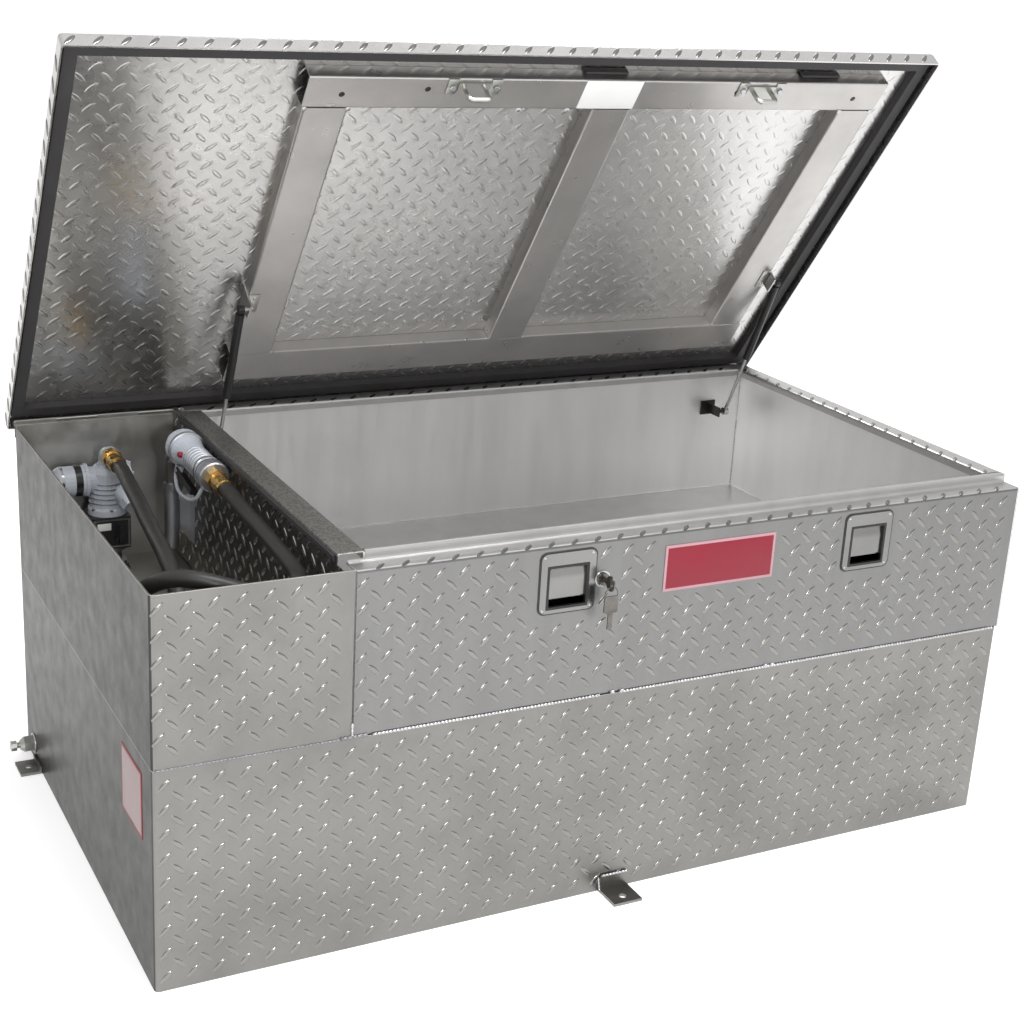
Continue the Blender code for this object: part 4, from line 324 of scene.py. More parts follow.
MATERIALS = {
    # Painted light and shade: the tank's left end darkened to a third, what stands out from it kept plain, and
    # its top brightened.
    "tank": worn_metal("tank_aluminium", SHEET, 0.34, grain=UPRIGHT_GRAIN, edge=0.8, painted_light_regions=(
        ("X", "LESS_THAN", LEFT + OUTSIDE, 0.33),
        ("X", "LESS_THAN", LEFT - OUTSIDE, 1.0),
        ("Z", "GREATER_THAN", TANK_TOP - OUTSIDE, 1.5),
    )),
    # Painted light and shade: the bay's insides brightened, its left end darkened, its back face kept plain and
    # its top edges brightened.
    "bay": worn_metal("bay_aluminium", SHEET, 0.34, grain=UPRIGHT_GRAIN, edge=0.8, painted_light_regions=(
        ("Y", "GREATER_THAN", FRONT + NEAR_INSIDE, 2.9),
        ("X", "LESS_THAN", LEFT + NEAR_INSIDE, 0.24),
        ("Y", "GREATER_THAN", BACK - OUTSIDE, 1.0),
        ("Z", "GREATER_THAN", BAY_TOP - CUT_EDGE, 2.4),
    )),
    # Painted light and shade: the partition's bay side darkened, its toolbox side and its top brightened.
    "partition": worn_metal(
        "partition_aluminium", SHEET, 0.40, grain_scale=420, grain_rise=0.0003, cloud=230.0,
        cloud_depth=0.55, painted_light_regions=(
            ("X", "LESS_THAN", PARTITION + OUTSIDE, 0.75),
            ("X", "GREATER_THAN", PARTITION + 0.002, 3.4),
            ("Z", "GREATER_THAN", RIM_TOP - OUTSIDE, 1.6),
        ),
    ),
    # Painted light: the tub's inside brightened, less along its floor, and its top brightened; its outer front
    # and back keep the plain colour.
    "tub": worn_metal("tub_aluminium", BOX_SHEET, 0.38, **BOX_WEAR, painted_light_regions=(
        ("Y", "GREATER_THAN", FRONT + OUTSIDE, 4.3),
        ("Z", "LESS_THAN", SEAM + FLOOR_EDGE, 1.9),
        ("Z", "GREATER_THAN", LEDGE_TOP - OUTSIDE, 2.4),
        ("Y", "LESS_THAN", FRONT + OUTSIDE, 1.0),
        ("Y", "GREATER_THAN", BACK - OUTSIDE, 1.0),
    )),
    # Painted light: the right end's inside and its top brightened.
    "right_end": worn_metal("right_end_aluminium", BOX_SHEET, 0.38, **BOX_WEAR, painted_light_regions=(
        ("X", "LESS_THAN", BOX_RIGHT - OUTSIDE, 4.3),
        ("Z", "GREATER_THAN", LEDGE_TOP, 2.4),
    )),
    "lozenge": worn_metal("lozenge_aluminium", (0.26, 0.255, 0.243), 0.20, spread=0.06, grain=SHORT_GRAIN),
    # Painted highlight: a much brighter copy of the lozenge metal, so the lozenges on the partition's darkened
    # bay side read as bright marks.
    "painted_highlight_lozenge": worn_metal("painted_highlight_lozenge_aluminium", (0.60, 0.56, 0.52), 0.24, grain=SHORT_GRAIN),
    "mill": worn_metal("mill_aluminium", (0.47, 0.455, 0.445), 0.30, spread=0.06, grain=(10, 1, 1)),
    "under_lid": dimpled_metal("lid_inside_aluminium", (0.62, 0.61, 0.60), 0.27),
    # Two copies of one weld metal: the first brightened as a painted highlight, the second darkened as painted
    # shade and made rougher.
    "weld": worn_metal("weld_bead", (0.58, 0.57, 0.58), 0.3, **WELD_GRAIN),
    "dull_weld": worn_metal("dull_weld_bead", (0.29, 0.275, 0.29), 0.45, **WELD_GRAIN),
    "zinc": worn_metal("zinc_plate", (0.48, 0.48, 0.45), 0.33),
    "stainless": worn_metal("stainless_steel", (0.46, 0.47, 0.48), 0.2, spread=0.06),
    # Painted shade: the tray's recess behind the front face darkened almost to black.
    "tray": worn_metal("tray_steel", (0.25, 0.248, 0.245), 0.22, spread=0.06, painted_light_regions=(
        ("Y", "GREATER_THAN", FRONT - 0.0004, 0.06),
    )),
    "paddle": worn_metal("paddle_steel", (0.25, 0.248, 0.24), 0.22, spread=0.06),
    "dark_steel": worn_metal("dark_nickel", (0.16, 0.15, 0.14), 0.25, cloud=60.0, cloud_depth=0.3),
    "brass": worn_metal("brass", (0.70, 0.46, 0.16), 0.25, cloud=40.0, cloud_depth=0.25),
    "cast": worn_metal("cast_alloy", (0.50, 0.51, 0.55), 0.40, grain_scale=350, grain_rise=0.0002),
    "grey_paint": plain_material("grey_paint", (0.46, 0.49, 0.54), 0.38),
    "rubber": plain_material("black_rubber", (0.017, 0.016, 0.015), 0.40),
    "seal": plain_material("seal_foam", (0.030, 0.028, 0.029), 0.6, texture_scale=400, rise=0.0001),
    "black_paint": plain_material("black_paint", (0.007, 0.006, 0.007), 0.36),
    "black_plastic": plain_material("black_plastic", (0.014, 0.014, 0.015), 0.42),
    "red_enamel": plain_material("red_enamel", (0.22, 0.003, 0.018), 0.5, speckle=0.02),
    "pink_border": plain_material("pink_border", (0.44, 0.25, 0.28), 0.5, speckle=0.02),
    "white_film": plain_material("white_film", (0.80, 0.80, 0.79), 0.4, speckle=0.01),
    "placard_film": plain_material("placard_film", (0.30, 0.225, 0.225), 0.5, speckle=0.03),
}

NODE_LOOKS = {
    "tank": ("tank_shell",),
    "bay": ("bay_walls",),
    "partition": ("partition",),
    "tub": ("toolbox_tub",),
    "right_end": ("toolbox_right_end",),
    "under_lid": ("lid_skin",),
    "mill": ("left_baffle", "right_baffle", "lid_front_rail", "lid_back_rail", "lid_left_rail",
             "lid_centre_rail", "lid_right_rail", "nozzle_spout"),
    "zinc": ("left_striker", "right_striker", "hinge_pin", "hinge_fixed_leaf", "hinge_lid_leaf",
             "left_latch_body", "right_latch_body", "outlet_bushing", "outlet_plug", "filler_neck",
             "tank_bung", "suction_pipe"),
    "stainless": ("left_strut_rod", "right_strut_rod"),
    "tray": ("left_latch_tray", "right_latch_tray"),
    "paddle": ("left_paddle", "right_paddle"),
    "dark_steel": ("lock_barrel", "lock_key", "spare_key_ring"),
    "brass": ("vent_cap", "pump_swivel", "nozzle_swivel"),
    "cast": ("pump_column", "nozzle_ring", "nozzle_holder"),
    "grey_paint": ("pump_motor", "pump_body", "pump_cover", "outlet_elbow", "nozzle_body"),
    "black_paint": ("left_strut_cylinder", "right_strut_cylinder", "left_strut_box_bracket",
                    "right_strut_box_bracket", "nozzle_trigger"),
    "black_plastic": ("filler_cap", "switch_box", "switch_lever"),
    "seal": ("lid_seal",),
}


def dress_nodes():
    for look, names in NODE_LOOKS.items():
        for name in names:
            for slot in NODES[name].material_slots:
                slot.material = MATERIALS[look]


def link(thing, look, body):
    """Put a new piece in the scene with its material, on its body."""
    bpy.context.scene.collection.objects.link(thing)
    thing.data.materials.append(MATERIALS[look])
    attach(thing, body)
    return thing


def mesh_piece(name, points, faces, look, body, frame_matrix=None, sharp=SHARP_EDGE):
    mesh = bpy.data.meshes.new(name)
    mesh.from_pydata([tuple(p) for p in points], [], faces)
    if frame_matrix:
        mesh.transform(frame_matrix)
    mesh.shade_smooth()
    mesh.set_sharp_from_angle(angle=math.radians(sharp))
    return link(bpy.data.objects.new(name, mesh), look, body)


def block(name, low, high, look, body, bevel=0.0, frame_matrix=None):
    """A block between two corners with rounded edges."""
    shape = bmesh.new()
    bmesh.ops.create_cube(shape, size=1.0)
    low, high = Vector(low), Vector(high)
    size = high - low
    for vertex in shape.verts:
        vertex.co = (low + high) / 2 + Vector(c * s for c, s in zip(vertex.co, size))
    if bevel:
        bmesh.ops.bevel(shape, geom=shape.edges[:], offset=bevel, segments=2, profile=0.5, affect="EDGES")
    if frame_matrix:
        bmesh.ops.transform(shape, matrix=frame_matrix, verts=shape.verts)
    mesh = bpy.data.meshes.new(name)
    shape.to_mesh(mesh)
    shape.free()
    mesh.shade_smooth()
    mesh.set_sharp_from_angle(angle=math.radians(SHARP_EDGE))
    return link(bpy.data.objects.new(name, mesh), look, body)


def ring_faces(rows, sides):
    """Faces between rows of points, where each row closes on itself."""
    faces = []
    for row in range(rows - 1):
        low, high = row * sides, (row + 1) * sides
        for k in range(sides):
            last = (k + 1) % sides
            faces.append((low + k, low + last, high + last, high + k))
    return faces


def turned(name, outline, look, body, place=ORIGIN, axis=UP, sides=32, frame_matrix=None):
    """Turn (radius, height) points, closed by the axis or back onto themselves, about an axis."""
    spin = Vector(axis).to_track_quat("Z", "Y").to_matrix().to_4x4()
    matrix = Matrix.Translation(Vector(place)) @ spin
    points = []
    for radius, height in outline:
        for k in range(sides):
            angle = 2 * math.pi * k / sides
            points.append(matrix @ Vector((radius * math.cos(angle), radius * math.sin(angle), height)))
    thing = mesh_piece(name, points, ring_faces(len(outline), sides), look, body, frame_matrix)
    shape = bmesh.new()
    shape.from_mesh(thing.data)
    bmesh.ops.remove_doubles(shape, verts=shape.verts, dist=SAME_PLACE)
    bmesh.ops.holes_fill(shape, edges=shape.edges, sides=0)
    bmesh.ops.recalc_face_normals(shape, faces=shape.faces)
    shape.to_mesh(thing.data)
    shape.free()
    thing.data.set_sharp_from_angle(angle=math.radians(SHARP_EDGE))
    return thing


def fastener(name, outline, body, sides, place=ORIGIN, axis=UP, frame_matrix=None):
    """The head of a stainless rivet, screw or bolt."""
    turned(name, outline, "stainless", body, place, axis, sides, frame_matrix)


def domed_head(radius, height, shoulder):
    """The outline of a rivet's head, where shoulder is the (radius, height) at which it rounds over."""
    return [(0.0, height), shoulder, (radius, 0.0), (0.0, 0.0)]


def bolt_head(radius, height, shoulder, top):
    """The outline of a bolt's head, upright up to the shoulder's height and flat inside the top's radius."""
    return [(0.0, height), (top, height), (radius, shoulder), (radius, 0.0), (0.0, 0.0)]


def rib(foot, crest, height, foot_half, crest_half):
    """The outline of a rib round a body: the radii and half widths of its foot and its crest."""
    return [(foot, height - foot_half), (crest, height - crest_half), (crest, height + crest_half),
            (foot, height + foot_half), (foot, height - foot_half)]


def tube(name, points, radius, look, body, resolution=4):
    data = bpy.data.curves.new(name, "CURVE")
    data.dimensions = "3D"
    data.bevel_depth = 1.0
    data.bevel_resolution = resolution
    data.use_fill_caps = True
    spline = data.splines.new("POLY")
    spline.points.add(len(points) - 1)
    for point, place in zip(spline.points, points):
        point.co = (*place, 1.0)
        point.radius = radius
    spline.use_smooth = True
    return link(bpy.data.objects.new(name, data), look, body)


def smooth_step(t):
    t = min(1.0, max(0.0, t))
    return t * t * (3 - 2 * t)


def smooth_route(route, spacing):
    """Points a fixed distance apart on a smooth curve through the route's own points."""
    places = [Vector(p) for p in route]
    padded = [2 * places[0] - places[1]] + places + [2 * places[-1] - places[-2]]
    fine = []
    for k in range(1, len(padded) - 2):
        p0, p1, p2, p3 = padded[k - 1 : k + 3]
        for step in range(ROUTE_STEPS):
            t = step / ROUTE_STEPS
            fine.append(0.5 * (2 * p1 + (p2 - p0) * t + (2 * p0 - 5 * p1 + 4 * p2 - p3) * t**2
                               + (3 * p1 - p0 - 3 * p2 + p3) * t**3))
    fine.append(places[-1])
    total = sum((b - a).length for a, b in zip(fine, fine[1:]))
    count = max(2, round(total / spacing))
    points = [fine[0]]
    travelled = 0.0
    for a, b in zip(fine, fine[1:]):
        travelled += (b - a).length
        if travelled >= total / count * len(points) - 1e-9 and len(points) < count:
            points.append(b)
    points.append(fine[-1])
    return points


def make_camera():
    data = bpy.data.cameras.new("camera")
    data.lens = CAMERA_LENS
    data.sensor_width = CAMERA_SENSOR
    data.shift_y = CAMERA_SHIFT_Y
    camera = bpy.data.objects.new("camera", data)
    camera.location = CAMERA_PLACE
    camera.rotation_euler = [math.radians(a) for a in CAMERA_TURN]
    bpy.context.scene.collection.objects.link(camera)
    bpy.context.scene.camera = camera


def make_floor():
    """A white floor that glows a little, so that it meets the sky without an edge."""
    mesh = bpy.data.meshes.new("floor")
    corners = [(x * FLOOR_HALF, y * FLOOR_HALF, 0) for x, y in ((-1, -1), (1, -1), (1, 1), (-1, 1))]
    mesh.from_pydata(corners, [], [(0, 1, 2, 3)])
    floor = bpy.data.objects.new("floor", mesh)
    material, nodes, links = new_material("floor")
    shader = nodes["Principled BSDF"]
    grain = noise(nodes, links, 3.0)
    tint = ramp(nodes, links, grain.outputs["Fac"], ((0.3, 0.93), (0.7, 0.95)))
    links.new(tint.outputs["Color"], shader.inputs["Base Color"])
    shader.inputs["Roughness"].default_value = 0.8
    shader.inputs["Specular IOR Level"].default_value = 0.2
    shader.inputs["Emission Color"].default_value = (1, 1, 1, 1)
    shader.inputs["Emission Strength"].default_value = 0.32
    mesh.materials.append(material)
    bpy.context.scene.collection.objects.link(floor)


def make_light():
    """A white sky that is greyer higher up, three soft lamps and a small one for the glints."""
    world = bpy.data.worlds.new("studio")
    world.use_nodes = True
    nodes, links = world.node_tree.nodes, world.node_tree.links
    place = nodes.new("ShaderNodeTexCoord")
    split = nodes.new("ShaderNodeSeparateXYZ")
    links.new(place.outputs["Generated"], split.inputs["Vector"])
    shade = ramp(nodes, links, split.outputs["Z"], SKY)
    links.new(shade.outputs["Color"], nodes["Background"].inputs["Color"])
    nodes["Background"].inputs["Strength"].default_value = 1.05
    bpy.context.scene.world = world
    bpy.context.scene.view_settings.view_transform = "Standard"
    for name, spot, target, width, height, power in LAMPS:
        data = bpy.data.lights.new(name, "AREA")
        data.shape = "RECTANGLE"
        data.size = width
        data.size_y = height
        data.energy = power
        lamp = bpy.data.objects.new(name, data)
        lamp.location = spot
        lamp.rotation_euler = (Vector(target) - Vector(spot)).to_track_quat("-Z", "Y").to_euler()
        bpy.context.scene.collection.objects.link(lamp)


def lozenge_shape():
    """One raised almond with its long way along +X: a sunk outline, a shoulder and a ridge."""
    rings = ((1.0, -0.0001), (0.82, LOZENGE_RISE * 0.7), (0.45, LOZENGE_RISE))
    points = []
    for share, rise in rings:
        for k in range(LOZENGE_SIDES):
            angle = 2 * math.pi * k / LOZENGE_SIDES
            across = math.sin(angle)
            points.append((
                share * LOZENGE_LENGTH / 2 * math.cos(angle),
                share * LOZENGE_WIDTH / 2 * across * (0.7 + 0.3 * abs(across)),
                rise,
            ))
    faces = ring_faces(len(rings), LOZENGE_SIDES)
    faces.append(tuple(range(len(points) - LOZENGE_SIDES, len(points))))
    return points, faces


LOZENGE_POINTS, LOZENGE_FACES = lozenge_shape()


def tread(name, corner, across, up, size, body, start=LOZENGE_START, skip=(), margin=0.0095, matrix=None,
          look="lozenge", rise=1.0):
    """Rows of raised lozenges on one flat face, crossing at right angles, clear of its edges and of skip.

    corner is the face's lowest corner, across and up its two ways, and start the first lozenge that
    leans right. skip holds (low across, low up, high across, high up) places left bare, and rise is the
    share of the full height.
    """
    across, up = Vector(across), Vector(up)
    out = across.cross(up)
    points = []
    faces = []
    for lean, shift in ((1, 0.0), (-1, 0.5)):
        turn = math.radians(45) * lean
        c, s = math.cos(turn), math.sin(turn)
        first_u = start[0] + shift * LOZENGE_PITCH[0]
        first_v = start[1] + shift * LOZENGE_PITCH[1]
        for i in COLUMNS:
            u = first_u + i * LOZENGE_PITCH[0]
            if not margin <= u <= size[0] - margin:
                continue
            for j in ROWS:
                v = first_v + j * LOZENGE_PITCH[1]
                if not margin <= v <= size[1] - margin:
                    continue
                if any(u0 - margin < u < u1 + margin and v0 - margin < v < v1 + margin
                       for u0, v0, u1, v1 in skip):
                    continue
                base = len(points)
                middle = Vector(corner) + across * u + up * v
                for x, y, z in LOZENGE_POINTS:
                    points.append(middle + across * (x * c - y * s) + up * (x * s + y * c) + out * (z * rise))
                faces.extend(tuple(base + k for k in face) for face in LOZENGE_FACES)
    mesh_piece(name, points, faces, look, body, matrix, sharp=80)


def front_fittings():
    """The places on the toolbox's front without lozenges: both latches, the lock and the badge."""
    badge_reach = BADGE_HALF[0] + 0.002
    places = [(x, LATCH_REACH, LATCH_REACH, 0.146, 0.248) for _, x in LATCHES]
    places.append((LOCK.x, 0.014, 0.016, 0.180, 0.212))
    places.append((BADGE[0], badge_reach, badge_reach, 0.157, 0.240))
    return [(x - left - BOX_START, low, x + right - BOX_START, high) for x, left, right, low, high in places]


def make_tread():
    """Lozenges on every tread-plate face except the plain left end."""
    x, y, z = Vector((1, 0, 0)), Vector((0, 1, 0)), Vector((0, 0, 1))
    width = RIGHT - LEFT
    depth = BACK - FRONT
    bay_width = BAY_END - LEFT
    box_width = RIGHT - BOX_START
    upper = LEDGE_TOP - SEAM
    back_upper = BACK_TREAD_TOP - SEAM
    tread("tread_tank_front", (LEFT, FRONT, 0), x, z, (width, TANK_TOP), "box", start=(0.0165, 0.0230))
    tread("tread_bay_front", (LEFT, FRONT, SEAM), x, z, (bay_width, BAY_TOP - SEAM), "box",
          start=(0.0098, 0.0090))
    tread("tread_box_front", (BOX_START, FRONT, SEAM), x, z, (box_width, upper), "box",
          start=(0.0097, 0.0070), skip=front_fittings())
    tread("tread_tank_right", (RIGHT, FRONT, 0), y, z, (depth, TANK_TOP), "box")
    tread("tread_box_right", (BOX_RIGHT, FRONT, SEAM), y, z, (depth, upper), "box")
    tread("tread_tank_back", (RIGHT, BACK, 0), -x, z, (width, TANK_TOP), "box")
    tread("tread_bay_back", (BAY_END, BACK, SEAM), -x, z, (bay_width, back_upper), "box")
    tread("tread_box_back", (RIGHT, BACK, SEAM), -x, z, (box_width, back_upper), "box")
    tread("tread_ledge", (FLANGE_END, FRONT, LEDGE_TOP), x, y, (RIGHT - FLANGE_END, LEDGE_BACK - FRONT), "box",
          start=(0.012, 0.0095))
    tread("tread_right_rim", (RIGHT_RIM, LEDGE_BACK, RIM_TOP), x, y, (RIM_WIDTH, 0.767), "box",
          start=(0.0095, 0.02))
    tread("tread_back_rim", (FLANGE_END, BACK_RIM, RIM_TOP), x, y, (RIGHT_RIM - FLANGE_END, RIM_WIDTH), "box",
          start=(0.02, 0.0095), rise=0.2)
    # The partition's bay-side lozenges use the brighter lozenge metal, a painted highlight.
    tread("tread_partition_bay", (PARTITION, BACK - 0.003, SEAM), -y, z, (depth - 0.006, RIM_TOP - SEAM), "box",
          look="painted_highlight_lozenge")
    lid_width = 2 * LID_SIDE
    lid_depth = LID_REAR - LID_FRONT
    tread("tread_lid_top", (-LID_SIDE, LID_FRONT, LID_TOP), x, y, (lid_width, lid_depth), "lid",
          matrix=LID_FRAME, margin=0.013)
    tread("lid_inner_marks", (-LID_SIDE, LID_REAR, LID_UNDER), x, -y, (lid_width, lid_depth), "lid",
          matrix=LID_FRAME, margin=0.036, look="under_lid", rise=0.36)
    flange = LID_TOP - LID_LOW - 0.004
    for name, corner, across, length in (
        ("tread_lid_front", (-LID_SIDE, LID_FRONT, LID_LOW), x, lid_width),
        ("tread_lid_left", (-LID_SIDE, LID_REAR, LID_LOW), -y, lid_depth),
        ("tread_lid_right", (LID_SIDE, LID_FRONT, LID_LOW), y, lid_depth),
    ):
        tread(name, corner, across, z, (length, flange), "lid", start=(0.014, 0.0125), matrix=LID_FRAME)


def coil_turns():
    """Three turns of the hose: down the inner column, out across the bottom and up the outer column."""
    start, out, end, step = 305, 860, 1420, 12
    lag, crossing = 60, 100
    points = []
    for degrees in range(start + step, end - step // 2, step):
        down = smooth_step((degrees - start) / (out - start))
        up = smooth_step((degrees - out - lag) / (end - out - lag))
        height = COIL_TOP + (COIL_LOW - COIL_TOP) * (down - up)
        outward = smooth_step((degrees - out) / crossing)
        radius = COIL_INNER + (COIL_OUTER - COIL_INNER) * outward
        angle = math.radians(degrees)
        x = COIL_CENTRE[0] + radius * math.cos(angle)
        y = COIL_CENTRE[1] + radius * math.sin(angle)
        points.append(Vector((x, y, height)))
    return points


def nozzle_matrix():
    """The nozzle's own frame: +Z runs along its handle, from the hose towards its head."""
    along = (NOZZLE_HEAD - NOZZLE_FOOT).normalized()
    side = Vector((1, 0, 0))
    side = (side - along * side.dot(along)).normalized()
    matrix = Matrix((side, along.cross(side), along)).transposed().to_4x4()
    matrix.translation = NOZZLE_FOOT
    return matrix


NOZZLE = nozzle_matrix()

# The hose's way into the coil and out of it, measured from the bay's front left corner
HOSE_LAY = (
    (0.127, 0.560, 0.5795), (0.1165, 0.470, 0.581), (0.107, 0.394, 0.5815), (0.0985, 0.320, 0.5815),
    (0.091, 0.250, 0.581), (0.0845, 0.195, 0.578), (0.0805, 0.158, 0.570), (0.077, 0.126, 0.554),
    (0.0745, 0.101, 0.532), (0.075, 0.085, 0.505), (0.080, 0.075, 0.480), (0.0905, 0.0655, 0.459),
    (0.109, 0.057, 0.4415), (0.130, 0.0505, 0.4295), (0.1505, 0.0492, 0.4230), (0.1752, 0.0547, COIL_TOP),
    (0.1977, 0.0664, COIL_TOP),
)
HOSE_RISE = (
    (0.2571, 0.1041, COIL_TOP), (0.2645, 0.146, COIL_TOP + 0.001), (0.2571, 0.188, 0.424),
    (0.2286, 0.2326, 0.432), (0.1839, 0.2611, 0.444), (0.1313, 0.268, 0.460), (0.0808, 0.2521, 0.480),
    (0.0417, 0.2163, 0.506), (0.0237, 0.1777, 0.532), (0.020, 0.146, 0.557), (0.0245, 0.118, 0.578),
    (0.035, 0.094, 0.595), (0.050, 0.073, 0.607), (0.070, 0.054, 0.612), (0.095, 0.040, 0.609),
    (0.124, 0.031, 0.600), (0.152, 0.028, 0.590), (0.181, 0.032, 0.581), (0.212, 0.046, 0.575),
    (0.237, 0.073, 0.573), (0.250, 0.107, 0.573), (0.254, 0.145, 0.5745), (0.2535, 0.200, 0.580),
    (0.2525, 0.270, 0.587), (0.2515, 0.350, 0.592),
)


def make_hose():
    """The delivery hose, from the pump's swivel through the coil to the nozzle's swivel."""
    route = [PUMP_END, PUMP_END + Vector((0, -HOSE_LEAD, 0))]
    route += [Vector((LEFT + x, FRONT + y, z)) for x, y, z in HOSE_LAY]
    route += coil_turns()
    route += [Vector((LEFT + x, FRONT + y, z)) for x, y, z in HOSE_RISE]
    route += [NOZZLE @ Vector((0, 0, -HOSE_END - HOSE_LEAD)), NOZZLE @ Vector((0, 0, -HOSE_END))]
    points = smooth_route(route, HOSE_STEP)
    hose = tube("delivery_hose", points, HOSE_RADIUS, "rubber", "box", resolution=6)
    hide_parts("hose_pump_run", "hose_coil", "hose_nozzle_run")
    for name, matrix in (
        ("pump_ferrule", Matrix.Translation(PUMP_END) @ Matrix.Rotation(math.radians(-90), 4, "X")),
        ("nozzle_ferrule", NOZZLE @ Matrix.Translation((0, 0, -HOSE_END))),
    ):
        turned(name, FERRULE, "brass", "box", frame_matrix=matrix)


def bead(name, points, radius, look="weld", pitch=0.006):
    """A weld bead of overlapping ripples along a run of points on the box."""
    places = [Vector(p) for p in points]
    fine = []
    for a, b in zip(places, places[1:]):
        steps = max(1, round((b - a).length / (pitch / 4)))
        fine += [a.lerp(b, k / steps) for k in range(steps)]
    fine.append(places[-1])
    thing = tube(name, fine, radius, look, "box", resolution=2)
    for k, point in enumerate(thing.data.splines[0].points):
        point.radius = radius * (0.82 + 0.22 * math.cos(math.pi / 2 * k) + RANDOM.uniform(-0.12, 0.12))


def make_welds():
    """Beads on the front's seams, on the joint of bay and box, inside the corners and round the lug."""
    y = FRONT - 0.0002
    # The box's seams take the brighter weld metal, a painted highlight; the bay's seam and the joint's foot take
    # the darker copy, painted shade.
    bead("weld_bay_seam", [(LEFT + 0.004, y, SEAM), (BAY_END, y, SEAM)], 0.0021, "dull_weld")
    bead("weld_box_seam_left", [(BOX_START + 0.030, y, SEAM), (-0.052, y, SEAM)], 0.0026)
    bead("weld_box_seam_right", [(-0.018, y, SEAM), (RIGHT - 0.012, y, SEAM)], 0.0024)
    bead("weld_joint_foot", [(BAY_END - 0.016, y, SEAM + 0.001), (BOX_START + 0.022, y, SEAM + 0.001)],
         0.0036, "dull_weld", pitch=0.008)
    bead("weld_joint_low", [(JOINT, y, SEAM + 0.004), (JOINT, y, SEAM + 0.024)], 0.0028, pitch=0.007)
    bead("weld_joint_top", [(JOINT, FRONT + 0.004, LEDGE_TOP), (JOINT, FRONT + 0.034, LEDGE_TOP)], 0.0017)
    for k, x in enumerate((-0.030, -0.012, 0.262, 0.275)):
        bead(f"stitch_{k}", [(x - 0.004, y, SEAM + 0.002), (x + 0.004, y, SEAM + 0.002)], 0.0032)
    inner = BOX_RIGHT - 0.0028
    back = BACK - 0.0028
    bead("weld_inner_right", [(inner, FRONT + 0.02, SEAM + 0.0028), (inner, back, SEAM + 0.0028)], 0.002)
    bead("weld_inner_corner", [(inner, back, SEAM + 0.003), (inner, back, RIM_TOP - 0.018)], 0.002)
    lug_side, lug_top = -0.0262, 0.0285
    bead("weld_front_lug_left", [(lug_side, FRONT - 0.0052, 0.004), (lug_side, FRONT, 0.024)], 0.0022)
    bead("weld_front_lug_top", [(-0.024, FRONT - 0.004, lug_top), (0.024, FRONT - 0.004, lug_top)], 0.0024)


def frame_plate(name, centre, outer, inner, near, far, look, corner):
    """A flat ring in the front wall's plane: a rounded outside, a square hole and a small thickness."""
    rings = []
    for (width, height), round_by in ((outer, corner), (inner, min(corner, 0.002))):
        ring = []
        for cx, cz, first in ((1, 1, 0), (-1, 1, 90), (-1, -1, 180), (1, -1, 270)):
            for step in range(CORNER_STEPS + 1):
                angle = math.radians(first + step * 90 / CORNER_STEPS)
                ring.append((
                    centre[0] + cx * (width / 2 - round_by) + round_by * math.cos(angle),
                    centre[1] + cz * (height / 2 - round_by) + round_by * math.sin(angle),
                ))
        rings.append(ring)
    count = len(rings[0])
    points = [(x, y, z) for ring in rings for y in (near, far) for x, z in ring]
    out_near, out_far, in_near, in_far = 0, count, 2 * count, 3 * count
    faces = []
    for k in range(count):
        last = (k + 1) % count
        faces.append((out_near + k, out_near + last, out_far + last, out_far + k))
        faces.append((in_near + last, in_near + k, in_far + k, in_far + last))
        faces.append((out_near + last, out_near + k, in_near + k, in_near + last))
        faces.append((out_far + k, out_far + last, in_far + last, in_far + k))
    mesh_piece(name, points, faces, look, "box")


def make_latches():
    """Gaskets round the trays, black borders round the paddles, corner rivets and the lock's washer."""
    z = LATCH_HEIGHT
    pocket = z - 0.007
    for side, x in LATCHES:
        frame_plate(f"{side}_latch_gasket", (x, z), (0.0985, 0.1005), (0.076, 0.082),
                    FRONT - 0.0012, FRONT, "seal", corner=0.011)
        frame_plate(f"{side}_latch_border", (x, pocket), (0.0722, 0.0702), (0.0640, 0.0620),
                    FRONT - 0.0027, FRONT + 0.0030, "black_paint", corner=0.002)
        for k, (dx, dz) in enumerate(((-1, 1), (1, 1), (-1, -1), (1, -1))):
            spot = (x + dx * 0.0412, FRONT - 0.0023, z + dz * 0.0425)
            fastener(f"{side}_latch_rivet_{k}", domed_head(0.0024, 0.0012, (0.0014, 0.0010)), "box", 16,
                     spot, FRONTWARD)
    washer = [(0.0102, 0.0), (0.0135, 0.0), (0.0135, 0.0012), (0.0125, 0.0020), (0.0102, 0.0020)]
    fastener("lock_washer", washer, "box", 32, LOCK, FRONTWARD)


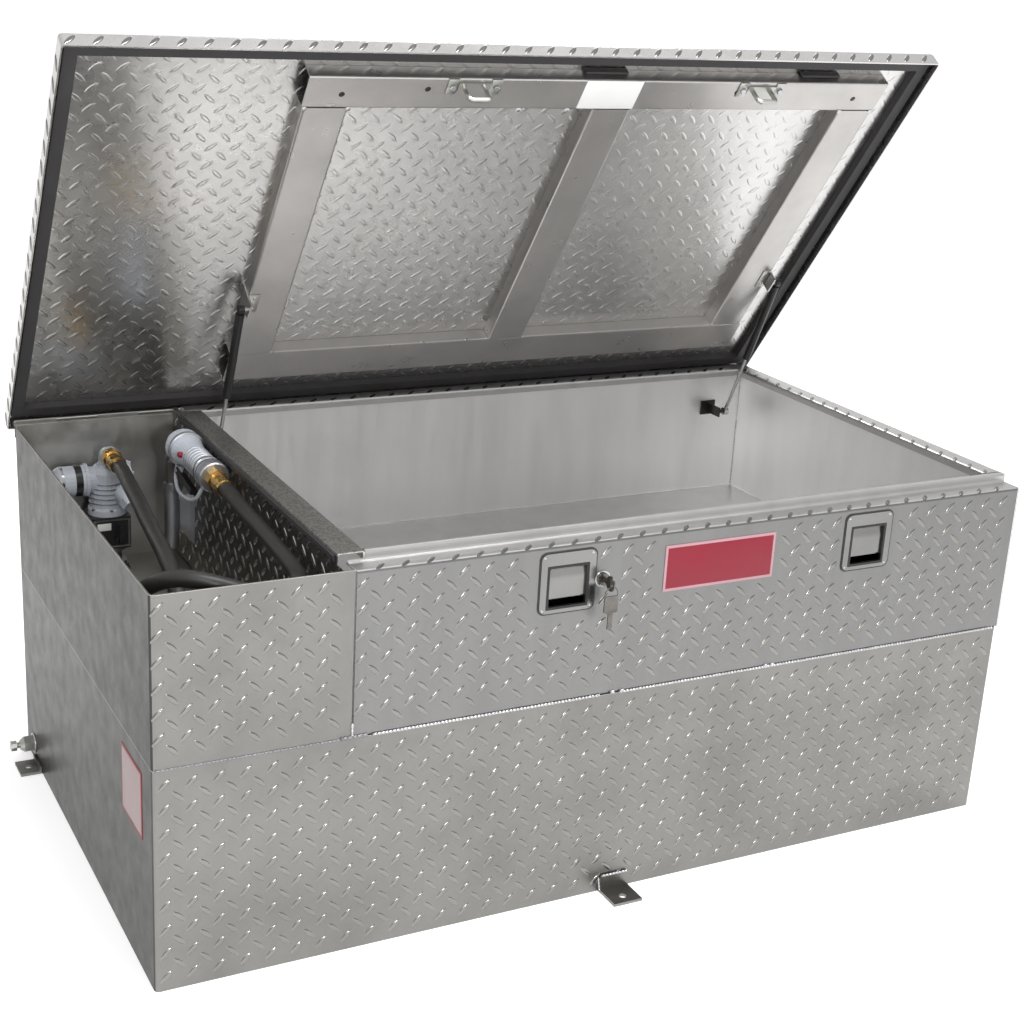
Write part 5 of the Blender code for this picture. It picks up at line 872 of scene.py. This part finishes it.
def make_lid_details():
    """Wings and bolts of the strikers, strut plates, the bare label, black discs of painted shade for the rails'
    holes, and the rails' welds.
    """
    wing_low = RAIL_LOW - 0.0022
    for side, x in STRIKERS:
        for way, name in ((-1, "a"), (1, "b")):
            near, far = sorted((x + way * 0.0284, x + way * 0.047))
            block(f"{side}_striker_wing_{name}", (near, -0.784, wing_low), (far, -0.754, RAIL_LOW), "zinc",
                  "lid", bevel=0.0009, frame_matrix=LID_FRAME)
            bolt = LID_FRAME @ Matrix.Translation((x + way * 0.0378, -0.769, wing_low))
            fastener(f"{side}_striker_bolt_{name}", bolt_head(0.0056, -0.0050, -0.0042, 0.0045), "lid", 6,
                     frame_matrix=bolt)
    plate_low = RAIL_LOW - 0.0016
    for side, x in STRUT_PLATES:
        block(f"{side}_strut_lid_bracket", (x, -0.306, plate_low), (x + 0.019, -0.262, RAIL_LOW), "zinc",
              "lid", bevel=0.0006, frame_matrix=LID_FRAME)
        for k, y in enumerate((-0.297, -0.271)):
            spot = LID_FRAME @ Matrix.Translation((x + 0.010, y, plate_low))
            fastener(f"{side}_strut_lid_rivet_{k}", domed_head(0.0032, -0.0014, (0.0022, -0.0010)), "lid", 16,
                     frame_matrix=spot)
    block("lid_label", (0.075, -0.7835, RAIL_LOW - 0.0005), (0.182, -0.7250, RAIL_LOW), "white_film", "lid",
          bevel=0.0002, frame_matrix=LID_FRAME)
    # Black discs where the rails have holes: painted shade of the holes.
    for k, (x, y) in enumerate(RAIL_HOLES):
        spot = LID_FRAME @ Matrix.Translation((LEFT + x, y, RAIL_LOW))
        turned(f"rail_hole_shade_{k}", domed_head(0.0050, -0.0003, (0.0045, -0.0003)), "black_paint", "lid",
               sides=20, frame_matrix=spot)
    # Dark blocks in the seal's material at the front rail's base, where the rail's gaps show dark: painted shade
    # of the gaps.
    for k, x in enumerate((0.115, 0.545)):
        block(f"rail_gap_shade_{k}", (x - 0.040, -0.7905, 0.0080), (x + 0.040, -0.7849, 0.0200), "seal", "lid",
              bevel=0.0015, frame_matrix=LID_FRAME)
    weld = [(0.0, -0.0014), (0.0030, -0.0011), (0.0045, -0.0003), (0.0, 0.0)]
    for k, x in enumerate((-0.396, -0.325, -0.030, 0.060, 0.614, 0.682)):
        for end, y in (("front", -0.7205), ("back", -0.1515)):
            spot = LID_FRAME @ Matrix.Translation((x, y, RAIL_LOW + 0.0001))
            turned(f"rail_weld_{k}_{end}", weld, "weld", "lid", sides=16, frame_matrix=spot)


def make_rim_shade_strip():
    """A black strip of painted shade and dark reflection on the bay's side of the partition's rim, scalloped
    along its lower edge, in the seal's material.
    """
    near, far = FRONT + 0.045, BACK - 0.045
    count = 120
    x = PARTITION - 0.0002
    points = []
    for k in range(count + 1):
        y = near + (far - near) * k / count
        low = RIM_TOP - 0.0155 + 0.0022 * math.sin(k * 1.9)
        points += [(x, y, RIM_TOP - 0.0050), (x - 0.0028, y, RIM_TOP - 0.0060), (x - 0.0032, y, low + 0.002),
                   (x, y, low)]
    faces = []
    for a, b in ((0, 1), (1, 2), (2, 3), (3, 0)):
        faces += [(4 * k + a, 4 * k + 4 + a, 4 * k + 4 + b, 4 * k + b) for k in range(count)]
    faces += [(0, 1, 2, 3), tuple(4 * count + j for j in (3, 2, 1, 0))]
    mesh_piece("partition_edge_shade_strip", points, faces, "seal", "box")


def make_pump():
    """The motor's bands, screws and lead, the flange bolts and the ribs of the pump's body."""
    left = Matrix.Translation(PUMP) @ Matrix.Rotation(math.radians(-90), 4, "Y")
    for name, start, end, radius, look in (
        ("motor_band", 0.046, 0.058, 0.0275, "black_paint"),
        ("motor_ring", 0.078, 0.082, 0.0272, "stainless"),
    ):
        outline = [(MOTOR_SHELL, start), (radius, start), (radius, end), (MOTOR_SHELL, end), (MOTOR_SHELL, start)]
        turned(name, outline, look, "box", frame_matrix=left)
    for k in range(4):
        angle = math.radians(45 + 90 * k)
        spot = Matrix.Translation((0.0130 * math.cos(angle), 0.0130 * math.sin(angle), 0.0962))
        fastener(f"motor_screw_{k}", bolt_head(0.0028, 0.0022, 0.0012, 0.0022), "box", 12,
                 frame_matrix=left @ spot)
    lead = smooth_route([PUMP + Vector(step) for step in MOTOR_LEAD], 0.004)
    tube("motor_lead", lead, 0.0034, "black_plastic", "box")
    for k in range(6):
        angle = math.radians(60 * k + 30)
        spot = (PUMP.x + 0.0310 * math.cos(angle), PUMP.y + 0.0310 * math.sin(angle), PUMP_FOOT - 0.0001)
        fastener(f"flange_bolt_{k}", bolt_head(0.0036, 0.0036, 0.0028, 0.0030), "box", 6, spot)
    make_switch()
    for k in range(5):
        turned(f"body_rib_{k}", rib(0.0297, 0.0312, 0.012 + 0.009 * k, 0.0012, 0.0006), "cast", "box",
               (PUMP.x, PUMP.y, PUMP_FOOT), sides=40)


def make_switch():
    """The switch box's plate with its bare label and four screws."""
    x0, x1 = PUMP.x - 0.030, PUMP.x + 0.030
    plate = SWITCH_FRONT - 0.0012
    frame_plate("switch_plate", (PUMP.x, (SWITCH_LOW + SWITCH_HIGH) / 2), (0.062, 0.052), (0.056, 0.046),
                plate, SWITCH_FRONT, "stainless", corner=0.003)
    block("switch_label", (x0 + 0.004, SWITCH_FRONT - 0.0004, SWITCH_HIGH - 0.023),
          (x0 + 0.028, SWITCH_FRONT, SWITCH_HIGH - 0.010), "white_film", "box", bevel=0.0001)
    corners = [(x, z) for z in (SWITCH_LOW + 0.005, SWITCH_HIGH - 0.005) for x in (x0, x1)]
    for k, (x, z) in enumerate(corners):
        fastener(f"switch_screw_{k}", domed_head(0.0024, 0.0018, (0.0016, 0.0016)), "box", 12,
                 (x, plate, z), FRONTWARD)


def make_nozzle():
    """The nozzle's crown, collar, grip rings and ribs, the trigger's pin heads and the red button."""
    for name, outline, look, slot in (
        ("nozzle_crown", [(0.0, 0.1925), (0.010, 0.1922), (0.012, 0.1902), (0.012, 0.1885), (0.0, 0.1885)],
         "cast", "cast_alloy"),
        ("nozzle_collar", [(0.0285, 0.1400), (0.0318, 0.1410), (0.0322, 0.1440), (0.0318, 0.1470),
                           (0.0295, 0.1480), (0.0285, 0.1400)], "cast", "cast_alloy"),
        ("nozzle_grip_ring", [(0.0232, 0.0340), (0.0252, 0.0350), (0.0252, 0.0390), (0.0232, 0.0400),
                              (0.0232, 0.0340)], "stainless", "stainless"),
        ("nozzle_grip_ring_b", [(0.0232, 0.0225), (0.0256, 0.0232), (0.0256, 0.0262), (0.0232, 0.0268),
                                (0.0232, 0.0225)], "stainless", "stainless"),
    ):
        turned(name, outline, look, "box", sides=40, frame_matrix=NOZZLE)
    guard = NOZZLE @ Matrix.Rotation(GUARD_TURN, 4, "Z")
    for k, way in enumerate((-1, 1)):
        spot = guard @ Matrix.Translation((0.041, way * 0.0074, 0.146))
        fastener(f"trigger_pin_head_{k}", domed_head(0.0040, 0.0018, (0.0030, 0.0014)), "box", 16,
                 axis=(0, way, 0), frame_matrix=spot)
    button = NOZZLE @ Matrix.Rotation(BUTTON_TURN, 4, "Z") @ Matrix.Translation((0, 0, 0.104))
    turned("nozzle_button", [(0.0, 0.0300), (0.0040, 0.0296), (0.0050, 0.0275), (0.0050, 0.0200), (0.0, 0.0200)],
           "red_enamel", "box", axis=(1, 0, 0), frame_matrix=button)
    for k in range(5):
        turned(f"grip_rib_{k}", rib(0.0222, 0.0236, 0.052 + 0.010 * k, 0.0022, 0.0010), "cast", "box",
               sides=40, frame_matrix=NOZZLE)


def make_outlet():
    """Thread ripples on the plug and the bushing's weld."""
    y, z = OUTLET
    ripple = [(0.0046, 0.0), (0.0058, 0.0004), (0.0058, 0.0008), (0.0046, 0.0012)]
    for k in range(4):
        turned(f"outlet_thread_{k}", ripple, "zinc", "box", (LEFT - 0.0272 - 0.0016 * k, y, z),
               (-1, 0, 0), sides=24)
    radius, count = 0.0168, 40
    ring = []
    for k in range(count + 1):
        angle = 2 * math.pi * k / count
        ring.append((LEFT - 0.0008, y + radius * math.cos(angle), z + radius * math.sin(angle)))
    bead("outlet_weld", ring, 0.0018, pitch=0.005)


def make_plates():
    """The bare badge on the front and the bare placard on the left end, each a plate with a field."""
    x, z = BADGE
    half_x, half_z = BADGE_HALF
    for name, low, high, look, bevel in (
        ("badge_plate", (x - half_x, FRONT - 0.0012, z - half_z), (x + half_x, FRONT, z + half_z),
         "pink_border", 0.0004),
        ("placard", (PLACARD_FACE, FRONT + 0.054, 0.2210), (LEFT, FRONT + 0.161, 0.3280),
         "red_enamel", 0.0002),
        ("placard_field", (PLACARD_FACE - 0.0003, FRONT + 0.0585, 0.2255), (LEFT, FRONT + 0.1565, 0.3235),
         "placard_film", 0.0001),
        ("badge_field", (x - half_x + BADGE_RIM, FRONT - 0.0016, z - half_z + BADGE_RIM),
         (x + half_x - BADGE_RIM, FRONT - 0.0008, z + half_z - BADGE_RIM), "red_enamel", 0.0003),
    ):
        block(name, low, high, look, "box", bevel=bevel)


def make_all():
    dress_nodes()
    make_camera()
    make_floor()
    make_light()
    make_tread()
    make_hose()
    make_welds()
    make_rim_shade_strip()
    make_latches()
    make_lid_details()
    make_pump()
    make_nozzle()
    make_outlet()
    make_plates()


make_all()
